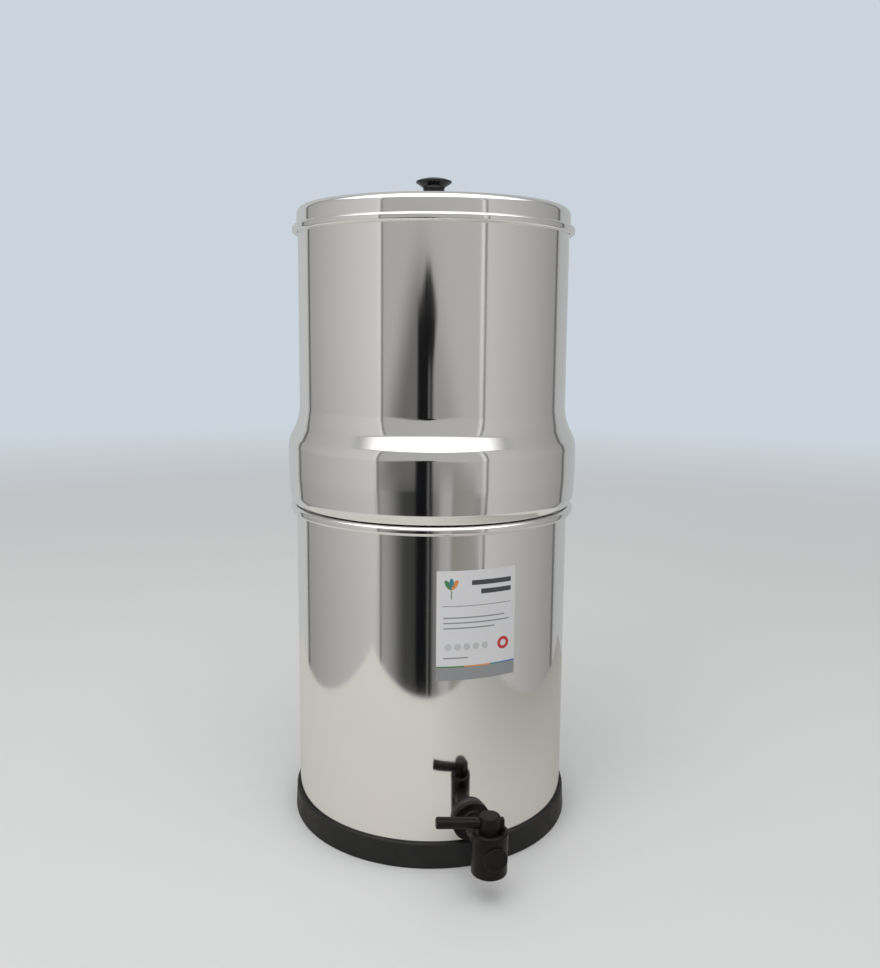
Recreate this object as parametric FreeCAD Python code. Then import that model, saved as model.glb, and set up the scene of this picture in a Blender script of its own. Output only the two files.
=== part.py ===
import FreeCAD
import Part
import math
import os

# Gravity water filter: two nested steel vessels, a lid with a knob, two ceramic candles and a lever tap.
# Lengths are in millimetres and angles in degrees. The tap faces -Y, +Z is up, and the origin is the
# middle of the foot, on the table.

# Fits and gaps shared by several pieces
SEAT_GAP = 0.3
RUNNING_GAP = 0.05
THREAD_GAP = 0.05
HOLE_GAP = 0.3
SWEEP_GAP = 0.4

# Sheet steel
VESSEL_WALL = 0.8
LID_WALL = 0.7
CURL_FULLNESS = 0.29
ARC_FROM = 5.5
TWO_CHORDS_FROM = 1.75
CURL_END_GAP = 0.5

# Rubber ring under the lower chamber
RING_HEIGHT = 18.7
RING_TOP_WALL = 2.6
RING_FOOT_WALL = 3.5
RING_LEDGE_HEIGHT = 5.0
RING_LEDGE_WIDTH = 9.0
RING_EDGE = 0.9

# Lower chamber
LOWER_RADIUS = 107.5
LOWER_HEIGHT = 248.0
LOWER_CORNER = 6.0
LOWER_DISH_INSET = 18.0
LOWER_DISH_RISE = 1.6
LOWER_DISH_SLOPE = 4.0
LOWER_RIM_WIDTH = 4.5
LOWER_RIM_HEIGHT = 6.5

# Upper chamber: a skirt that stands in the lower chamber, a bulge over the seam and a straight neck
SKIRT_GAP = 0.5
SKIRT_DEPTH = 16.5
SKIRT_CORNER = 5.0
SEAT_FOLD = 1.2
BULGE_OVERHANG = 1.4
BULGE_SEAT_INSET = 2.1
BULGE_SEAT_FOLD = 2.2
BULGE_WAIST_HEIGHT = 23.0
BULGE_WAIST_FILLET = 110.0
BULGE_TOP_HEIGHT = 49.5
BULGE_TOP_FILLET = 24.0
NECK_RADIUS = 104.5
NECK_START_HEIGHT = 68.0
NECK_FILLET = 7.0
NECK_RIM_HEIGHT = 224.7
NECK_RIM_WIDTH = 5.0
NECK_RIM_DEPTH = 5.2

# Lid
LID_SIDE_GAP = 0.8
LID_SKIRT_HEIGHT = 20.0
LID_SHOULDER = 6.5
LID_EDGE_WIDTH = 2.1
LID_EDGE_HEIGHT = 4.6
LID_DOME_INSET = 9.0
LID_DOME_RISE = 3.0
LID_STEP_RADIUS = 33.0
LID_STEP_WIDTH = 2.2
LID_STEP_RISE = 1.4

# Knob and its fastening
KNOB_HEIGHT = 18.6
KNOB_FOOT_RADIUS = 9.6
KNOB_FOOT_HEIGHT = 1.8
KNOB_NECK_RADIUS = 8.2
KNOB_RIM_RADIUS = 13.8
KNOB_UNDERCUT = 7.0
KNOB_RIM_DROP = 3.4
KNOB_RIM_THICKNESS = 1.2
KNOB_STEP_RADIUS = 10.4
KNOB_STEP_DROP = 0.8
KNOB_TOP_RADIUS = 6.8
KNOB_FILLET = 0.5
KNOB_NECK_FILLET = 2.6
SCREW_RADIUS = 2.0
SCREW_GRIP = 9.0
SCREW_HEAD_RADIUS = 4.2
SCREW_HEAD_HEIGHT = 2.4
SCREW_SLOT_WIDTH = 1.0
SCREW_SLOT_DEPTH = 1.1
LID_WASHER_RADIUS = 7.0
LID_WASHER_THICKNESS = 1.0

# Candles
CANDLE_SPACING = 96.0
CERAMIC_RADIUS = 25.5
CERAMIC_HEIGHT = 172.0
CERAMIC_WALL = 8.0
CERAMIC_ROUNDNESS = 0.94
CORE_GAP = 0.5
CORE_TOP_GAP = 6.0
CORE_BORE_RADIUS = 5.0
CANDLE_BASE_RADIUS = 28.5
CANDLE_BASE_FLOOR = 4.5
CANDLE_SOCKET_DEPTH = 9.0
CANDLE_BASE_FILLET = 1.5
STEM_RADIUS = 6.0
STEM_LENGTH = 29.0
STEM_BORE_RADIUS = 2.6
CANDLE_WASHER_RADIUS = 15.0
CANDLE_WASHER_THICKNESS = 2.5
WING_HUB_RADIUS = 10.0
WING_NUT_HEIGHT = 10.0
WING_SPAN = 44.0
WING_THICKNESS = 4.0
WING_DROP = 14.0
WING_DEPTH = 8.0
WING_INSET = 1.0
WING_TIP_RADIUS = 2.8

# Tap body: a shank through the wall of the lower chamber and an upright barrel
TAP_HEIGHT = 35.5
TAP_REACH = 42.6
SHANK_RADIUS = 8.0
SHANK_TAIL = 4.0
SHANK_BORE_RADIUS = 4.4
FLANGE_RADIUS = 14.4
FLANGE_THICKNESS = 3.6
FLANGE_FILLET = 1.0
OUTER_WASHER_THICKNESS = 2.0
INNER_WASHER_THICKNESS = 2.4
INNER_WASHER_RADIUS = 13.6
LOCK_NUT_RADIUS = 15.0
LOCK_NUT_THICKNESS = 7.0
LOCK_NUT_SIDES = 6
LOCK_NUT_CHAMFER = 1.4
BARREL_TOP_RADIUS = 13.1
BARREL_FOOT_RADIUS = 12.5
BARREL_ABOVE_SHANK = 14.8
BARREL_BELOW_SHANK = 16.1
BARREL_TOP_FILLET = 1.8
BARREL_FOOT_CHAMFER = 1.1
BOSS_RADIUS = 8.3
BOSS_PROUD = 1.3
BOSS_FILLET = 0.6
OUTLET_RADIUS = 6.9
OUTLET_LENGTH = 4.4

# Valve plug, its seals and its retaining ring
PLUG_RADIUS = 8.6
PLUG_PORT_RADIUS = 4.2
PLUG_BORE_RADIUS = 5.1
SEAL_GROOVE_WIDTH = 1.7
SEAL_GROOVE_DEPTH = 1.3
SEAL_OFFSET = 6.6
SEAL_SIDES = 4
CAP_RADIUS = 7.3
CAP_HEIGHT = 10.7
CAP_FILLET = 1.3
RETAINER_WIDTH = 1.9
RETAINER_THICKNESS = 1.4
RETAINER_DEPTH = 1.5
LUG_WIDTH = 4.6
LUG_HEIGHT = 9.0
STOP_RIB_WIDTH = 2.6
STOP_RIB_REACH = 2.0
LEVER_TRAVEL = 90.0
LEVER_REST_ANGLE = 173.0

# Lever
LEVER_REACH = 37.3
LEVER_ROOT_RADIUS = 3.7
LEVER_TIP_RADIUS = 4.05
LEVER_ROOT_DROP = 5.4
LEVER_TIP_DROP = 3.0
LEVER_SPIGOT_RADIUS = 2.6
LEVER_SPIGOT_DEPTH = 5.0
LEVER_TIP_FILLET = 1.6

# Heights that several pieces share
SEAM_Z = RING_LEDGE_HEIGHT + LOWER_HEIGHT
UPPER_SEAT_Z = SEAM_Z + SEAT_GAP
UPPER_FLOOR_Z = SEAM_Z - SKIRT_DEPTH
NECK_RIM_Z = SEAM_Z + NECK_RIM_HEIGHT
TAP_AXIS_Y = -(LOWER_RADIUS + TAP_REACH)
BARREL_TOP_Z = TAP_HEIGHT + BARREL_ABOVE_SHANK
BARREL_FOOT_Z = TAP_HEIGHT - BARREL_BELOW_SHANK

# Radii that several pieces share
LOWER_INSIDE = LOWER_RADIUS - VESSEL_WALL
SKIRT_RADIUS = LOWER_INSIDE - SKIRT_GAP
BULGE_RADIUS = LOWER_RADIUS + LOWER_RIM_WIDTH + BULGE_OVERHANG
LID_INSIDE = NECK_RADIUS + LID_SIDE_GAP

X_AXIS = FreeCAD.Vector(1, 0, 0)
Y_AXIS = FreeCAD.Vector(0, 1, 0)
Z_AXIS = FreeCAD.Vector(0, 0, 1)
ORIGIN = FreeCAD.Vector(0, 0, 0)
SIDES = {"left": -1, "right": 1}


def corner_directions(corners):
    """Unit directions of the legs between neighbouring corners (r, z, fillet)."""
    legs = []
    for (r0, z0, _), (r1, z1, _) in zip(corners, corners[1:]):
        length = math.hypot(r1 - r0, z1 - z0)
        legs.append(((r1 - r0) / length, (z1 - z0) / length))
    return legs


def offset_corners(corners, shift):
    """The same open path moved to the left of its direction by shift, with its fillets kept parallel."""
    legs = corner_directions(corners)
    before = [legs[0]] + legs
    after = legs + [legs[-1]]
    moved = []
    for (r, z, fillet), a, b in zip(corners, before, after):
        cosine = a[0] * b[0] + a[1] * b[1]
        reach = shift / (1 + cosine)
        turn = a[0] * b[1] - a[1] * b[0]
        parallel = fillet - shift * math.copysign(1, turn) if fillet else 0
        moved.append((r - (a[1] + b[1]) * reach, z + (a[0] + b[0]) * reach, parallel))
    return moved


def outline_face(corners):
    """Closed face in the XZ plane through corners (r, z, fillet), each rounded by its own fillet.

    A fillet of ARC_FROM or more is an arc, one of TWO_CHORDS_FROM or more is two chords, and a smaller
    one is a single chord, which keeps the facets few.
    """
    closed = [corners[-1]] + list(corners) + [corners[0]]
    legs = corner_directions(closed)
    edges = []
    joints = []
    for (r, z, fillet), a, b in zip(corners, legs, legs[1:]):
        corner = FreeCAD.Vector(r, 0, z)
        if not fillet:
            joints.append((corner, None, corner, fillet))
            continue
        arriving = FreeCAD.Vector(a[0], 0, a[1])
        leaving = FreeCAD.Vector(b[0], 0, b[1])
        half_turn = arriving.getAngle(leaving) / 2
        tangent = fillet * math.tan(half_turn)
        inward = (leaving - arriving).normalize()
        middle = corner + inward * (fillet / math.cos(half_turn) - fillet)
        joints.append((corner - arriving * tangent, middle, corner + leaving * tangent, fillet))
    for (start, middle, end, fillet), (following, _, _, _) in zip(joints, joints[1:] + joints[:1]):
        if fillet >= ARC_FROM:
            edges.append(Part.Arc(start, middle, end).toShape())
        elif fillet >= TWO_CHORDS_FROM:
            edges.append(Part.LineSegment(start, middle).toShape())
            edges.append(Part.LineSegment(middle, end).toShape())
        elif fillet:
            edges.append(Part.LineSegment(start, end).toShape())
        edges.append(Part.LineSegment(end, following).toShape())
    return Part.Face(Part.Wire(edges))


def turned(corners):
    """Solid of revolution about the Z axis of a closed outline."""
    return outline_face(corners).revolve(ORIGIN, Z_AXIS, 360)


def spun_sheet(middle_line, wall):
    """Solid of revolution of sheet metal: an open path along the middle of the sheet, wall thick."""
    left = offset_corners(middle_line, wall / 2)
    right = offset_corners(middle_line, -wall / 2)
    return turned(left + right[::-1])


def curl(root_r, edge_z, outwards, upwards, width, height, wall):
    """Corners of a rolled edge that leaves the middle line of a wall at root_r and turns back on itself.

    outwards and upwards are 1 or -1: the side that the edge rolls to, and the way the wall ends.
    """
    fillet = (width - wall) * CURL_FULLNESS
    near_z = edge_z - upwards * wall / 2
    far_z = edge_z - upwards * (height - wall / 2)
    far_r = root_r + outwards * (width - wall)
    end_r = root_r + outwards * (wall + CURL_END_GAP)
    fold = min(fillet, (height - wall) * CURL_FULLNESS)
    return [(root_r, near_z, fold), (far_r, near_z, fold), (far_r, far_z, fold), (end_r, far_z, 0)]


def rod(radius, start, end):
    """Cylinder between two points."""
    run = end - start
    return Part.makeCylinder(radius, run.Length, start, run)


def at_tap(x, y, z):
    """Point given from the tap: y from the barrel's axis, z from the axis of the shank."""
    return FreeCAD.Vector(x, TAP_AXIS_Y + y, TAP_HEIGHT + z)


def moved(shape, x, y, z):
    """Copy of a shape, moved."""
    copy = shape.copy()
    copy.translate(FreeCAD.Vector(x, y, z))
    return copy


def base_ring():
    """Ring with an upright wall round the chamber and a ledge under it."""
    inside = LOWER_RADIUS + RUNNING_GAP
    corners = [
        (LOWER_RADIUS - RING_LEDGE_WIDTH, 0, 0),
        (LOWER_RADIUS + RING_FOOT_WALL, 0, RING_EDGE),
        (LOWER_RADIUS + RING_TOP_WALL, RING_HEIGHT, RING_EDGE),
        (inside, RING_HEIGHT, 0),
        (inside, RING_LEDGE_HEIGHT, 0),
        (LOWER_RADIUS - RING_LEDGE_WIDTH, RING_LEDGE_HEIGHT, 0),
    ]
    return turned(corners)


def lower_chamber():
    """Drawn vessel with a raised floor, a rim rolled outwards and a hole for the tap."""
    middle = LOWER_RADIUS - VESSEL_WALL / 2
    floor_z = RING_LEDGE_HEIGHT + VESSEL_WALL / 2
    dish_r = LOWER_RADIUS - LOWER_DISH_INSET
    path = [
        (0, floor_z + LOWER_DISH_RISE, 0),
        (dish_r - LOWER_DISH_SLOPE, floor_z + LOWER_DISH_RISE, 0),
        (dish_r, floor_z, 0),
        (middle, floor_z, LOWER_CORNER),
    ]
    rim_width = LOWER_RIM_WIDTH + VESSEL_WALL
    path += curl(middle, SEAM_Z, 1, 1, rim_width, LOWER_RIM_HEIGHT, VESSEL_WALL)
    hole = rod(
        SHANK_RADIUS + HOLE_GAP,
        FreeCAD.Vector(0, -LOWER_RADIUS - LOWER_RIM_WIDTH, TAP_HEIGHT),
        FreeCAD.Vector(0, -LOWER_INSIDE / 2, TAP_HEIGHT),
    )
    return spun_sheet(path, VESSEL_WALL).cut(hole)


def upper_chamber():
    """Drawn vessel whose skirt stands in the lower chamber and whose bulge sits on the seam."""
    half = VESSEL_WALL / 2
    skirt = SKIRT_RADIUS - half
    seat_z = UPPER_SEAT_Z + half
    bulge = BULGE_RADIUS - half
    neck = NECK_RADIUS - half
    path = [
        (0, UPPER_FLOOR_Z + half, 0),
        (skirt, UPPER_FLOOR_Z + half, SKIRT_CORNER),
        (skirt, seat_z, SEAT_FOLD),
        (bulge - BULGE_SEAT_INSET, seat_z, BULGE_SEAT_FOLD),
        (bulge, SEAM_Z + BULGE_WAIST_HEIGHT, BULGE_WAIST_FILLET),
        (bulge, SEAM_Z + BULGE_TOP_HEIGHT, BULGE_TOP_FILLET),
        (neck, SEAM_Z + NECK_START_HEIGHT, NECK_FILLET),
    ]
    path += curl(neck, NECK_RIM_Z, -1, 1, NECK_RIM_WIDTH, NECK_RIM_DEPTH, VESSEL_WALL)
    vessel = spun_sheet(path, VESSEL_WALL)
    for side in SIDES.values():
        x = side * CANDLE_SPACING / 2
        start = FreeCAD.Vector(x, 0, UPPER_FLOOR_Z - VESSEL_WALL)
        end = FreeCAD.Vector(x, 0, UPPER_FLOOR_Z + 2 * VESSEL_WALL)
        vessel = vessel.cut(rod(STEM_RADIUS + HOLE_GAP, start, end))
    return vessel


def lid_roof_z():
    """Height of the lid's shoulder on its outside, found from how its inner curve seats on the rim."""
    shoulder = LID_SHOULDER - LID_WALL
    bead = (NECK_RIM_WIDTH - VESSEL_WALL) * CURL_FULLNESS + VESSEL_WALL / 2
    reach = shoulder - bead - SEAT_GAP
    lean = max(shoulder - bead - LID_SIDE_GAP, 0)
    rise = math.copysign(math.sqrt(max(reach**2 - lean**2, 0)), reach)
    return NECK_RIM_Z - bead - rise + shoulder + LID_WALL


def knob_seat_z():
    """Height of the lid's raised middle, on its outside."""
    return lid_roof_z() + LID_DOME_RISE + LID_STEP_RISE


def lid():
    """Pressed lid: an edge rolled outwards, a skirt, a round shoulder, a low dome and a raised middle."""
    half = LID_WALL / 2
    wall_r = LID_INSIDE + half
    roof_z = lid_roof_z()
    edge_width = LID_EDGE_WIDTH + LID_WALL
    edge = curl(wall_r, roof_z - LID_SKIRT_HEIGHT, 1, -1, edge_width, LID_EDGE_HEIGHT, LID_WALL)
    path = edge[::-1] + [
        (wall_r, roof_z - half, LID_SHOULDER - half),
        (wall_r - LID_DOME_INSET, roof_z - half, 0),
        (LID_STEP_RADIUS + LID_STEP_WIDTH, roof_z + LID_DOME_RISE - half, 0),
        (LID_STEP_RADIUS, knob_seat_z() - half, 0),
        (0, knob_seat_z() - half, 0),
    ]
    centre = FreeCAD.Vector(0, 0, knob_seat_z())
    hole = rod(SCREW_RADIUS + HOLE_GAP, centre - Z_AXIS * 2 * LID_WALL, centre + Z_AXIS * LID_WALL)
    return spun_sheet(path, LID_WALL).cut(hole)


def lid_knob():
    """Mushroom knob with a narrow neck, a sharp rim and a stepped top, bored for its screw."""
    rim_z = KNOB_HEIGHT - KNOB_RIM_DROP
    corners = [
        (0, 0, 0),
        (KNOB_FOOT_RADIUS, 0, 0),
        (KNOB_FOOT_RADIUS, KNOB_FOOT_HEIGHT, 0),
        (KNOB_NECK_RADIUS, KNOB_FOOT_HEIGHT, 0),
        (KNOB_NECK_RADIUS, KNOB_HEIGHT - KNOB_UNDERCUT, KNOB_NECK_FILLET),
        (KNOB_RIM_RADIUS, rim_z, 0),
        (KNOB_RIM_RADIUS, rim_z + KNOB_RIM_THICKNESS, KNOB_FILLET),
        (KNOB_STEP_RADIUS, KNOB_HEIGHT - KNOB_STEP_DROP, 0),
        (KNOB_TOP_RADIUS, KNOB_HEIGHT, KNOB_FILLET),
        (0, KNOB_HEIGHT, 0),
    ]
    bore = rod(SCREW_RADIUS + THREAD_GAP, ORIGIN, Z_AXIS * (SCREW_GRIP + 2 * SCREW_RADIUS))
    return moved(turned(corners).cut(bore), 0, 0, knob_seat_z())


def lid_washer():
    """Flat washer under the lid."""
    top = FreeCAD.Vector(0, 0, knob_seat_z() - LID_WALL)
    bottom = top - Z_AXIS * LID_WASHER_THICKNESS
    return rod(LID_WASHER_RADIUS, bottom, top).cut(rod(SCREW_RADIUS + HOLE_GAP, bottom, top))


def lid_screw():
    """Pan-head screw from below through washer and lid into the knob."""
    seat_z = knob_seat_z() - LID_WALL - LID_WASHER_THICKNESS
    head = [
        (0, seat_z - SCREW_HEAD_HEIGHT, 0),
        (SCREW_HEAD_RADIUS, seat_z - SCREW_HEAD_HEIGHT, SCREW_HEAD_HEIGHT / 2),
        (SCREW_HEAD_RADIUS, seat_z, 0),
        (SCREW_RADIUS, seat_z, 0),
        (SCREW_RADIUS, knob_seat_z() + SCREW_GRIP, 0),
        (0, knob_seat_z() + SCREW_GRIP, 0),
    ]
    slot = Part.makeBox(
        2 * SCREW_HEAD_RADIUS,
        SCREW_SLOT_WIDTH,
        SCREW_SLOT_DEPTH,
        FreeCAD.Vector(-SCREW_HEAD_RADIUS, -SCREW_SLOT_WIDTH / 2, seat_z - SCREW_HEAD_HEIGHT),
    )
    return turned(head).cut(slot)


def candle_washer_z():
    """Height of the inside of the upper chamber's floor, where the candles' washers lie."""
    return UPPER_FLOOR_Z + VESSEL_WALL


def candle_base_z():
    """Height of the underside of a candle's base."""
    return candle_washer_z() + CANDLE_WASHER_THICKNESS


def candle_washer():
    """Soft washer that seals the stem's hole."""
    bottom = FreeCAD.Vector(0, 0, candle_washer_z())
    top = FreeCAD.Vector(0, 0, candle_base_z())
    return rod(CANDLE_WASHER_RADIUS, bottom, top).cut(rod(STEM_RADIUS + HOLE_GAP, bottom, top))


def candle_base():
    """Moulded cup that holds the ceramic, with a hollow threaded stem below it."""
    under_z = candle_base_z()
    floor_z = under_z + CANDLE_BASE_FLOOR
    lip_z = floor_z + CANDLE_SOCKET_DEPTH
    socket_r = CERAMIC_RADIUS + RUNNING_GAP
    tip_z = under_z - STEM_LENGTH
    corners = [
        (STEM_BORE_RADIUS, tip_z, 0),
        (STEM_RADIUS - CANDLE_BASE_FILLET / 2, tip_z, 0),
        (STEM_RADIUS, tip_z + CANDLE_BASE_FILLET / 2, 0),
        (STEM_RADIUS, under_z, 0),
        (CANDLE_BASE_RADIUS, under_z, 0),
        (CANDLE_BASE_RADIUS, lip_z, CANDLE_BASE_FILLET),
        (socket_r, lip_z, 0),
        (socket_r, floor_z, 0),
        (STEM_BORE_RADIUS, floor_z, 0),
    ]
    return turned(corners)


def candle_ceramic():
    """Hollow ceramic thimble with a round top, open at its foot."""
    foot_z = candle_base_z() + CANDLE_BASE_FLOOR
    top_z = foot_z + CERAMIC_HEIGHT
    inside = CERAMIC_RADIUS - CERAMIC_WALL
    roundness = CERAMIC_RADIUS * CERAMIC_ROUNDNESS
    corners = [
        (CERAMIC_RADIUS, foot_z, 0),
        (CERAMIC_RADIUS, top_z, roundness),
        (0, top_z, 0),
        (0, top_z - CERAMIC_WALL, 0),
        (inside, top_z - CERAMIC_WALL, roundness - CERAMIC_WALL),
        (inside, foot_z, 0),
    ]
    return turned(corners)


def candle_core():
    """Carbon block inside the ceramic, bored down its middle."""
    foot_z = candle_base_z() + CANDLE_BASE_FLOOR
    radius = CERAMIC_RADIUS - CERAMIC_WALL - CORE_GAP
    height = CERAMIC_HEIGHT - CERAMIC_RADIUS - CORE_TOP_GAP
    bottom = FreeCAD.Vector(0, 0, foot_z)
    top = bottom + Z_AXIS * height
    return rod(radius, bottom, top).cut(rod(CORE_BORE_RADIUS, bottom, top - Z_AXIS * CERAMIC_WALL))


def candle_nut():
    """Wing nut below the upper chamber's floor: a round hub and two wings that slope away from it."""
    top_z = UPPER_FLOOR_Z
    bottom_z = top_z - WING_NUT_HEIGHT
    hub = rod(WING_HUB_RADIUS, FreeCAD.Vector(0, 0, bottom_z), FreeCAD.Vector(0, 0, top_z))
    wing_r = WING_SPAN / 2
    low_z = top_z - WING_DROP
    corners = [
        (-wing_r, low_z + WING_DEPTH, WING_TIP_RADIUS),
        (-wing_r, low_z, WING_TIP_RADIUS),
        (-WING_HUB_RADIUS, bottom_z + WING_INSET, 0),
        (WING_HUB_RADIUS, bottom_z + WING_INSET, 0),
        (wing_r, low_z, WING_TIP_RADIUS),
        (wing_r, low_z + WING_DEPTH, WING_TIP_RADIUS),
        (WING_HUB_RADIUS, top_z - WING_INSET, 0),
        (-WING_HUB_RADIUS, top_z - WING_INSET, 0),
    ]
    wings = moved(outline_face(corners), 0, -WING_THICKNESS / 2, 0).extrude(Y_AXIS * WING_THICKNESS)
    bore = rod(STEM_RADIUS + THREAD_GAP, FreeCAD.Vector(0, 0, low_z), FreeCAD.Vector(0, 0, top_z))
    return hub.fuse(wings).cut(bore).removeSplitter()


def retainer_top_z():
    """Height of the retaining ring's top face, a step below the barrel's top."""
    return BARREL_TOP_Z - RETAINER_DEPTH


def retainer_radius():
    """Outer radius of the retaining ring's seat."""
    return PLUG_RADIUS + RETAINER_WIDTH


def plug_bottom_z():
    """Height of the valve plug's lower end, just over the ledge of the outlet."""
    return BARREL_FOOT_Z + OUTLET_LENGTH + SEAT_GAP


def plug_shoulder_z():
    """Height of the plug's shoulder, just under the retaining ring."""
    return retainer_top_z() - RETAINER_THICKNESS - SEAT_GAP


def lug_radius():
    """How far out the stop lug reaches."""
    return retainer_radius() - SWEEP_GAP


def stop_rib_angles():
    """Directions of the two ribs that end the lug's travel, on either side of its sweep."""
    middle_r = (CAP_RADIUS + lug_radius()) / 2
    half_lug = math.degrees(math.asin((LUG_WIDTH / 2 + SWEEP_GAP) / middle_r))
    half_rib = math.degrees(math.asin(STOP_RIB_WIDTH / 2 / middle_r))
    first = LEVER_REST_ANGLE + 180 - half_lug - half_rib
    last = LEVER_REST_ANGLE + 180 + LEVER_TRAVEL + half_lug + half_rib
    return [first, last]


def tap_body():
    """Moulded tap body: shank, flange, barrel with its outlet, round boss and stop ribs."""
    flange_y = TAP_REACH - OUTER_WASHER_THICKNESS
    shank_end = TAP_REACH + VESSEL_WALL + INNER_WASHER_THICKNESS + LOCK_NUT_THICKNESS + SHANK_TAIL
    barrel = turned([
        (0, BARREL_FOOT_Z, 0),
        (BARREL_FOOT_RADIUS - BARREL_FOOT_CHAMFER, BARREL_FOOT_Z, 0),
        (BARREL_FOOT_RADIUS, BARREL_FOOT_Z + BARREL_FOOT_CHAMFER, 0),
        (BARREL_TOP_RADIUS, BARREL_TOP_Z, BARREL_TOP_FILLET),
        (0, BARREL_TOP_Z, 0),
    ])
    barrel = moved(barrel, 0, TAP_AXIS_Y, 0)
    boss = across_tap([
        (0, -BARREL_TOP_RADIUS - BOSS_PROUD, 0),
        (BOSS_RADIUS, -BARREL_TOP_RADIUS - BOSS_PROUD, BOSS_FILLET),
        (BOSS_RADIUS, 0, 0),
        (0, 0, 0),
    ])
    flange = across_tap([
        (0, flange_y - FLANGE_THICKNESS, 0),
        (FLANGE_RADIUS, flange_y - FLANGE_THICKNESS, FLANGE_FILLET),
        (FLANGE_RADIUS, flange_y, 0),
        (0, flange_y, 0),
    ])
    shank = rod(SHANK_RADIUS, at_tap(0, 0, 0), at_tap(0, shank_end, 0))
    body = barrel.fuse([boss, flange, shank])
    body = body.cut(valve_chamber()).cut(rod(SHANK_BORE_RADIUS, at_tap(0, 0, 0), at_tap(0, shank_end, 0)))
    for angle in stop_rib_angles():
        body = body.fuse(stop_rib(angle))
    return body.removeSplitter()


def across_tap(corners):
    """Solid of revolution about the shank's axis, from an outline in (radius, distance from the barrel)."""
    solid = turned(corners)
    solid.rotate(ORIGIN, X_AXIS, -90)
    return moved(solid, 0, TAP_AXIS_Y, TAP_HEIGHT)


def valve_chamber():
    """Space in the barrel for the plug, its retaining ring and the outlet."""
    bore = PLUG_RADIUS + RUNNING_GAP
    ledge_z = BARREL_FOOT_Z + OUTLET_LENGTH
    ring_z = retainer_top_z() - RETAINER_THICKNESS
    above_z = BARREL_TOP_Z + BARREL_TOP_FILLET
    below_z = BARREL_FOOT_Z - BARREL_FOOT_CHAMFER
    corners = [
        (0, below_z, 0),
        (OUTLET_RADIUS, below_z, 0),
        (OUTLET_RADIUS, ledge_z, 0),
        (bore, ledge_z, 0),
        (bore, ring_z, 0),
        (retainer_radius(), ring_z, 0),
        (retainer_radius(), above_z, 0),
        (0, above_z, 0),
    ]
    return moved(turned(corners), 0, TAP_AXIS_Y, 0)


def stop_rib(angle):
    """Rib on the wall of the recess, pointing at the plug's axis and standing over the retaining ring."""
    length = STOP_RIB_REACH + SWEEP_GAP
    height = RETAINER_DEPTH - RUNNING_GAP
    low_z = retainer_top_z() + RUNNING_GAP
    corner = FreeCAD.Vector(retainer_radius() - STOP_RIB_REACH, -STOP_RIB_WIDTH / 2, low_z)
    rib = Part.makeBox(length, STOP_RIB_WIDTH, height, corner)
    rib.rotate(ORIGIN, Z_AXIS, angle)
    return moved(rib, 0, TAP_AXIS_Y, 0)


def valve_retainer():
    """Flat ring pressed into the barrel over the plug's shoulder."""
    bottom = FreeCAD.Vector(0, TAP_AXIS_Y, retainer_top_z() - RETAINER_THICKNESS)
    top = FreeCAD.Vector(0, TAP_AXIS_Y, retainer_top_z())
    return rod(retainer_radius(), bottom, top).cut(rod(CAP_RADIUS + RUNNING_GAP, bottom, top))


def seal_heights():
    """Heights of the grooves below and above the port."""
    return {"lower": TAP_HEIGHT - SEAL_OFFSET, "upper": TAP_HEIGHT + SEAL_OFFSET}


def valve_plug():
    """Turned plug with two seal grooves, a side port, a hollow foot, a cap and a stop lug."""
    cap_z = BARREL_TOP_Z + CAP_HEIGHT
    body = turned([
        (0, plug_bottom_z(), 0),
        (PLUG_RADIUS, plug_bottom_z(), 0),
        (PLUG_RADIUS, plug_shoulder_z(), 0),
        (CAP_RADIUS, plug_shoulder_z(), 0),
        (CAP_RADIUS, cap_z, CAP_FILLET),
        (0, cap_z, 0),
    ])
    floor_r = PLUG_RADIUS - SEAL_GROOVE_DEPTH
    for height in seal_heights().values():
        low = FreeCAD.Vector(0, 0, height - SEAL_GROOVE_WIDTH / 2)
        high = FreeCAD.Vector(0, 0, height + SEAL_GROOVE_WIDTH / 2)
        body = body.cut(rod(PLUG_RADIUS + SWEEP_GAP, low, high).cut(rod(floor_r, low, high)))
    lug_z = BARREL_TOP_Z - RETAINER_DEPTH + SEAT_GAP
    lug = Part.makeBox(
        lug_radius(),
        LUG_WIDTH,
        LUG_HEIGHT,
        FreeCAD.Vector(-lug_radius(), -LUG_WIDTH / 2, lug_z),
    )
    foot = Z_AXIS * plug_bottom_z()
    hollow = rod(PLUG_BORE_RADIUS, foot, Z_AXIS * (TAP_HEIGHT + PLUG_PORT_RADIUS))
    body = body.fuse(lug).cut(hollow).cut(lever_spigot(LEVER_SPIGOT_RADIUS + RUNNING_GAP))
    body.rotate(ORIGIN, Z_AXIS, LEVER_REST_ANGLE)
    body = moved(body, 0, TAP_AXIS_Y, 0)
    port_turn = math.radians(90 - LEVER_TRAVEL)
    port_reach = FreeCAD.Vector(math.cos(port_turn), math.sin(port_turn), 0) * 2 * PLUG_RADIUS
    port = rod(PLUG_PORT_RADIUS, at_tap(0, 0, 0), at_tap(0, 0, 0) + port_reach)
    return body.cut(port).removeSplitter()


def valve_seal(height):
    """Rubber ring in a groove of the plug, its round section drawn with a few flats."""
    thickness = SEAL_GROOVE_DEPTH / 2
    middle_r = PLUG_RADIUS - thickness
    turns = [2 * math.pi * side / SEAL_SIDES for side in range(SEAL_SIDES)]
    section = [(middle_r + thickness * math.cos(a), height + thickness * math.sin(a), 0) for a in turns]
    return moved(turned(section), 0, TAP_AXIS_Y, 0)


def lever_line():
    """Ends of the lever's middle line, in the plane of the plug's axis, root first."""
    root = FreeCAD.Vector(CAP_RADIUS, 0, BARREL_TOP_Z + CAP_HEIGHT - LEVER_ROOT_DROP)
    tip = FreeCAD.Vector(LEVER_REACH, 0, BARREL_TOP_Z + CAP_HEIGHT - LEVER_TIP_DROP)
    return root, tip


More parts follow.
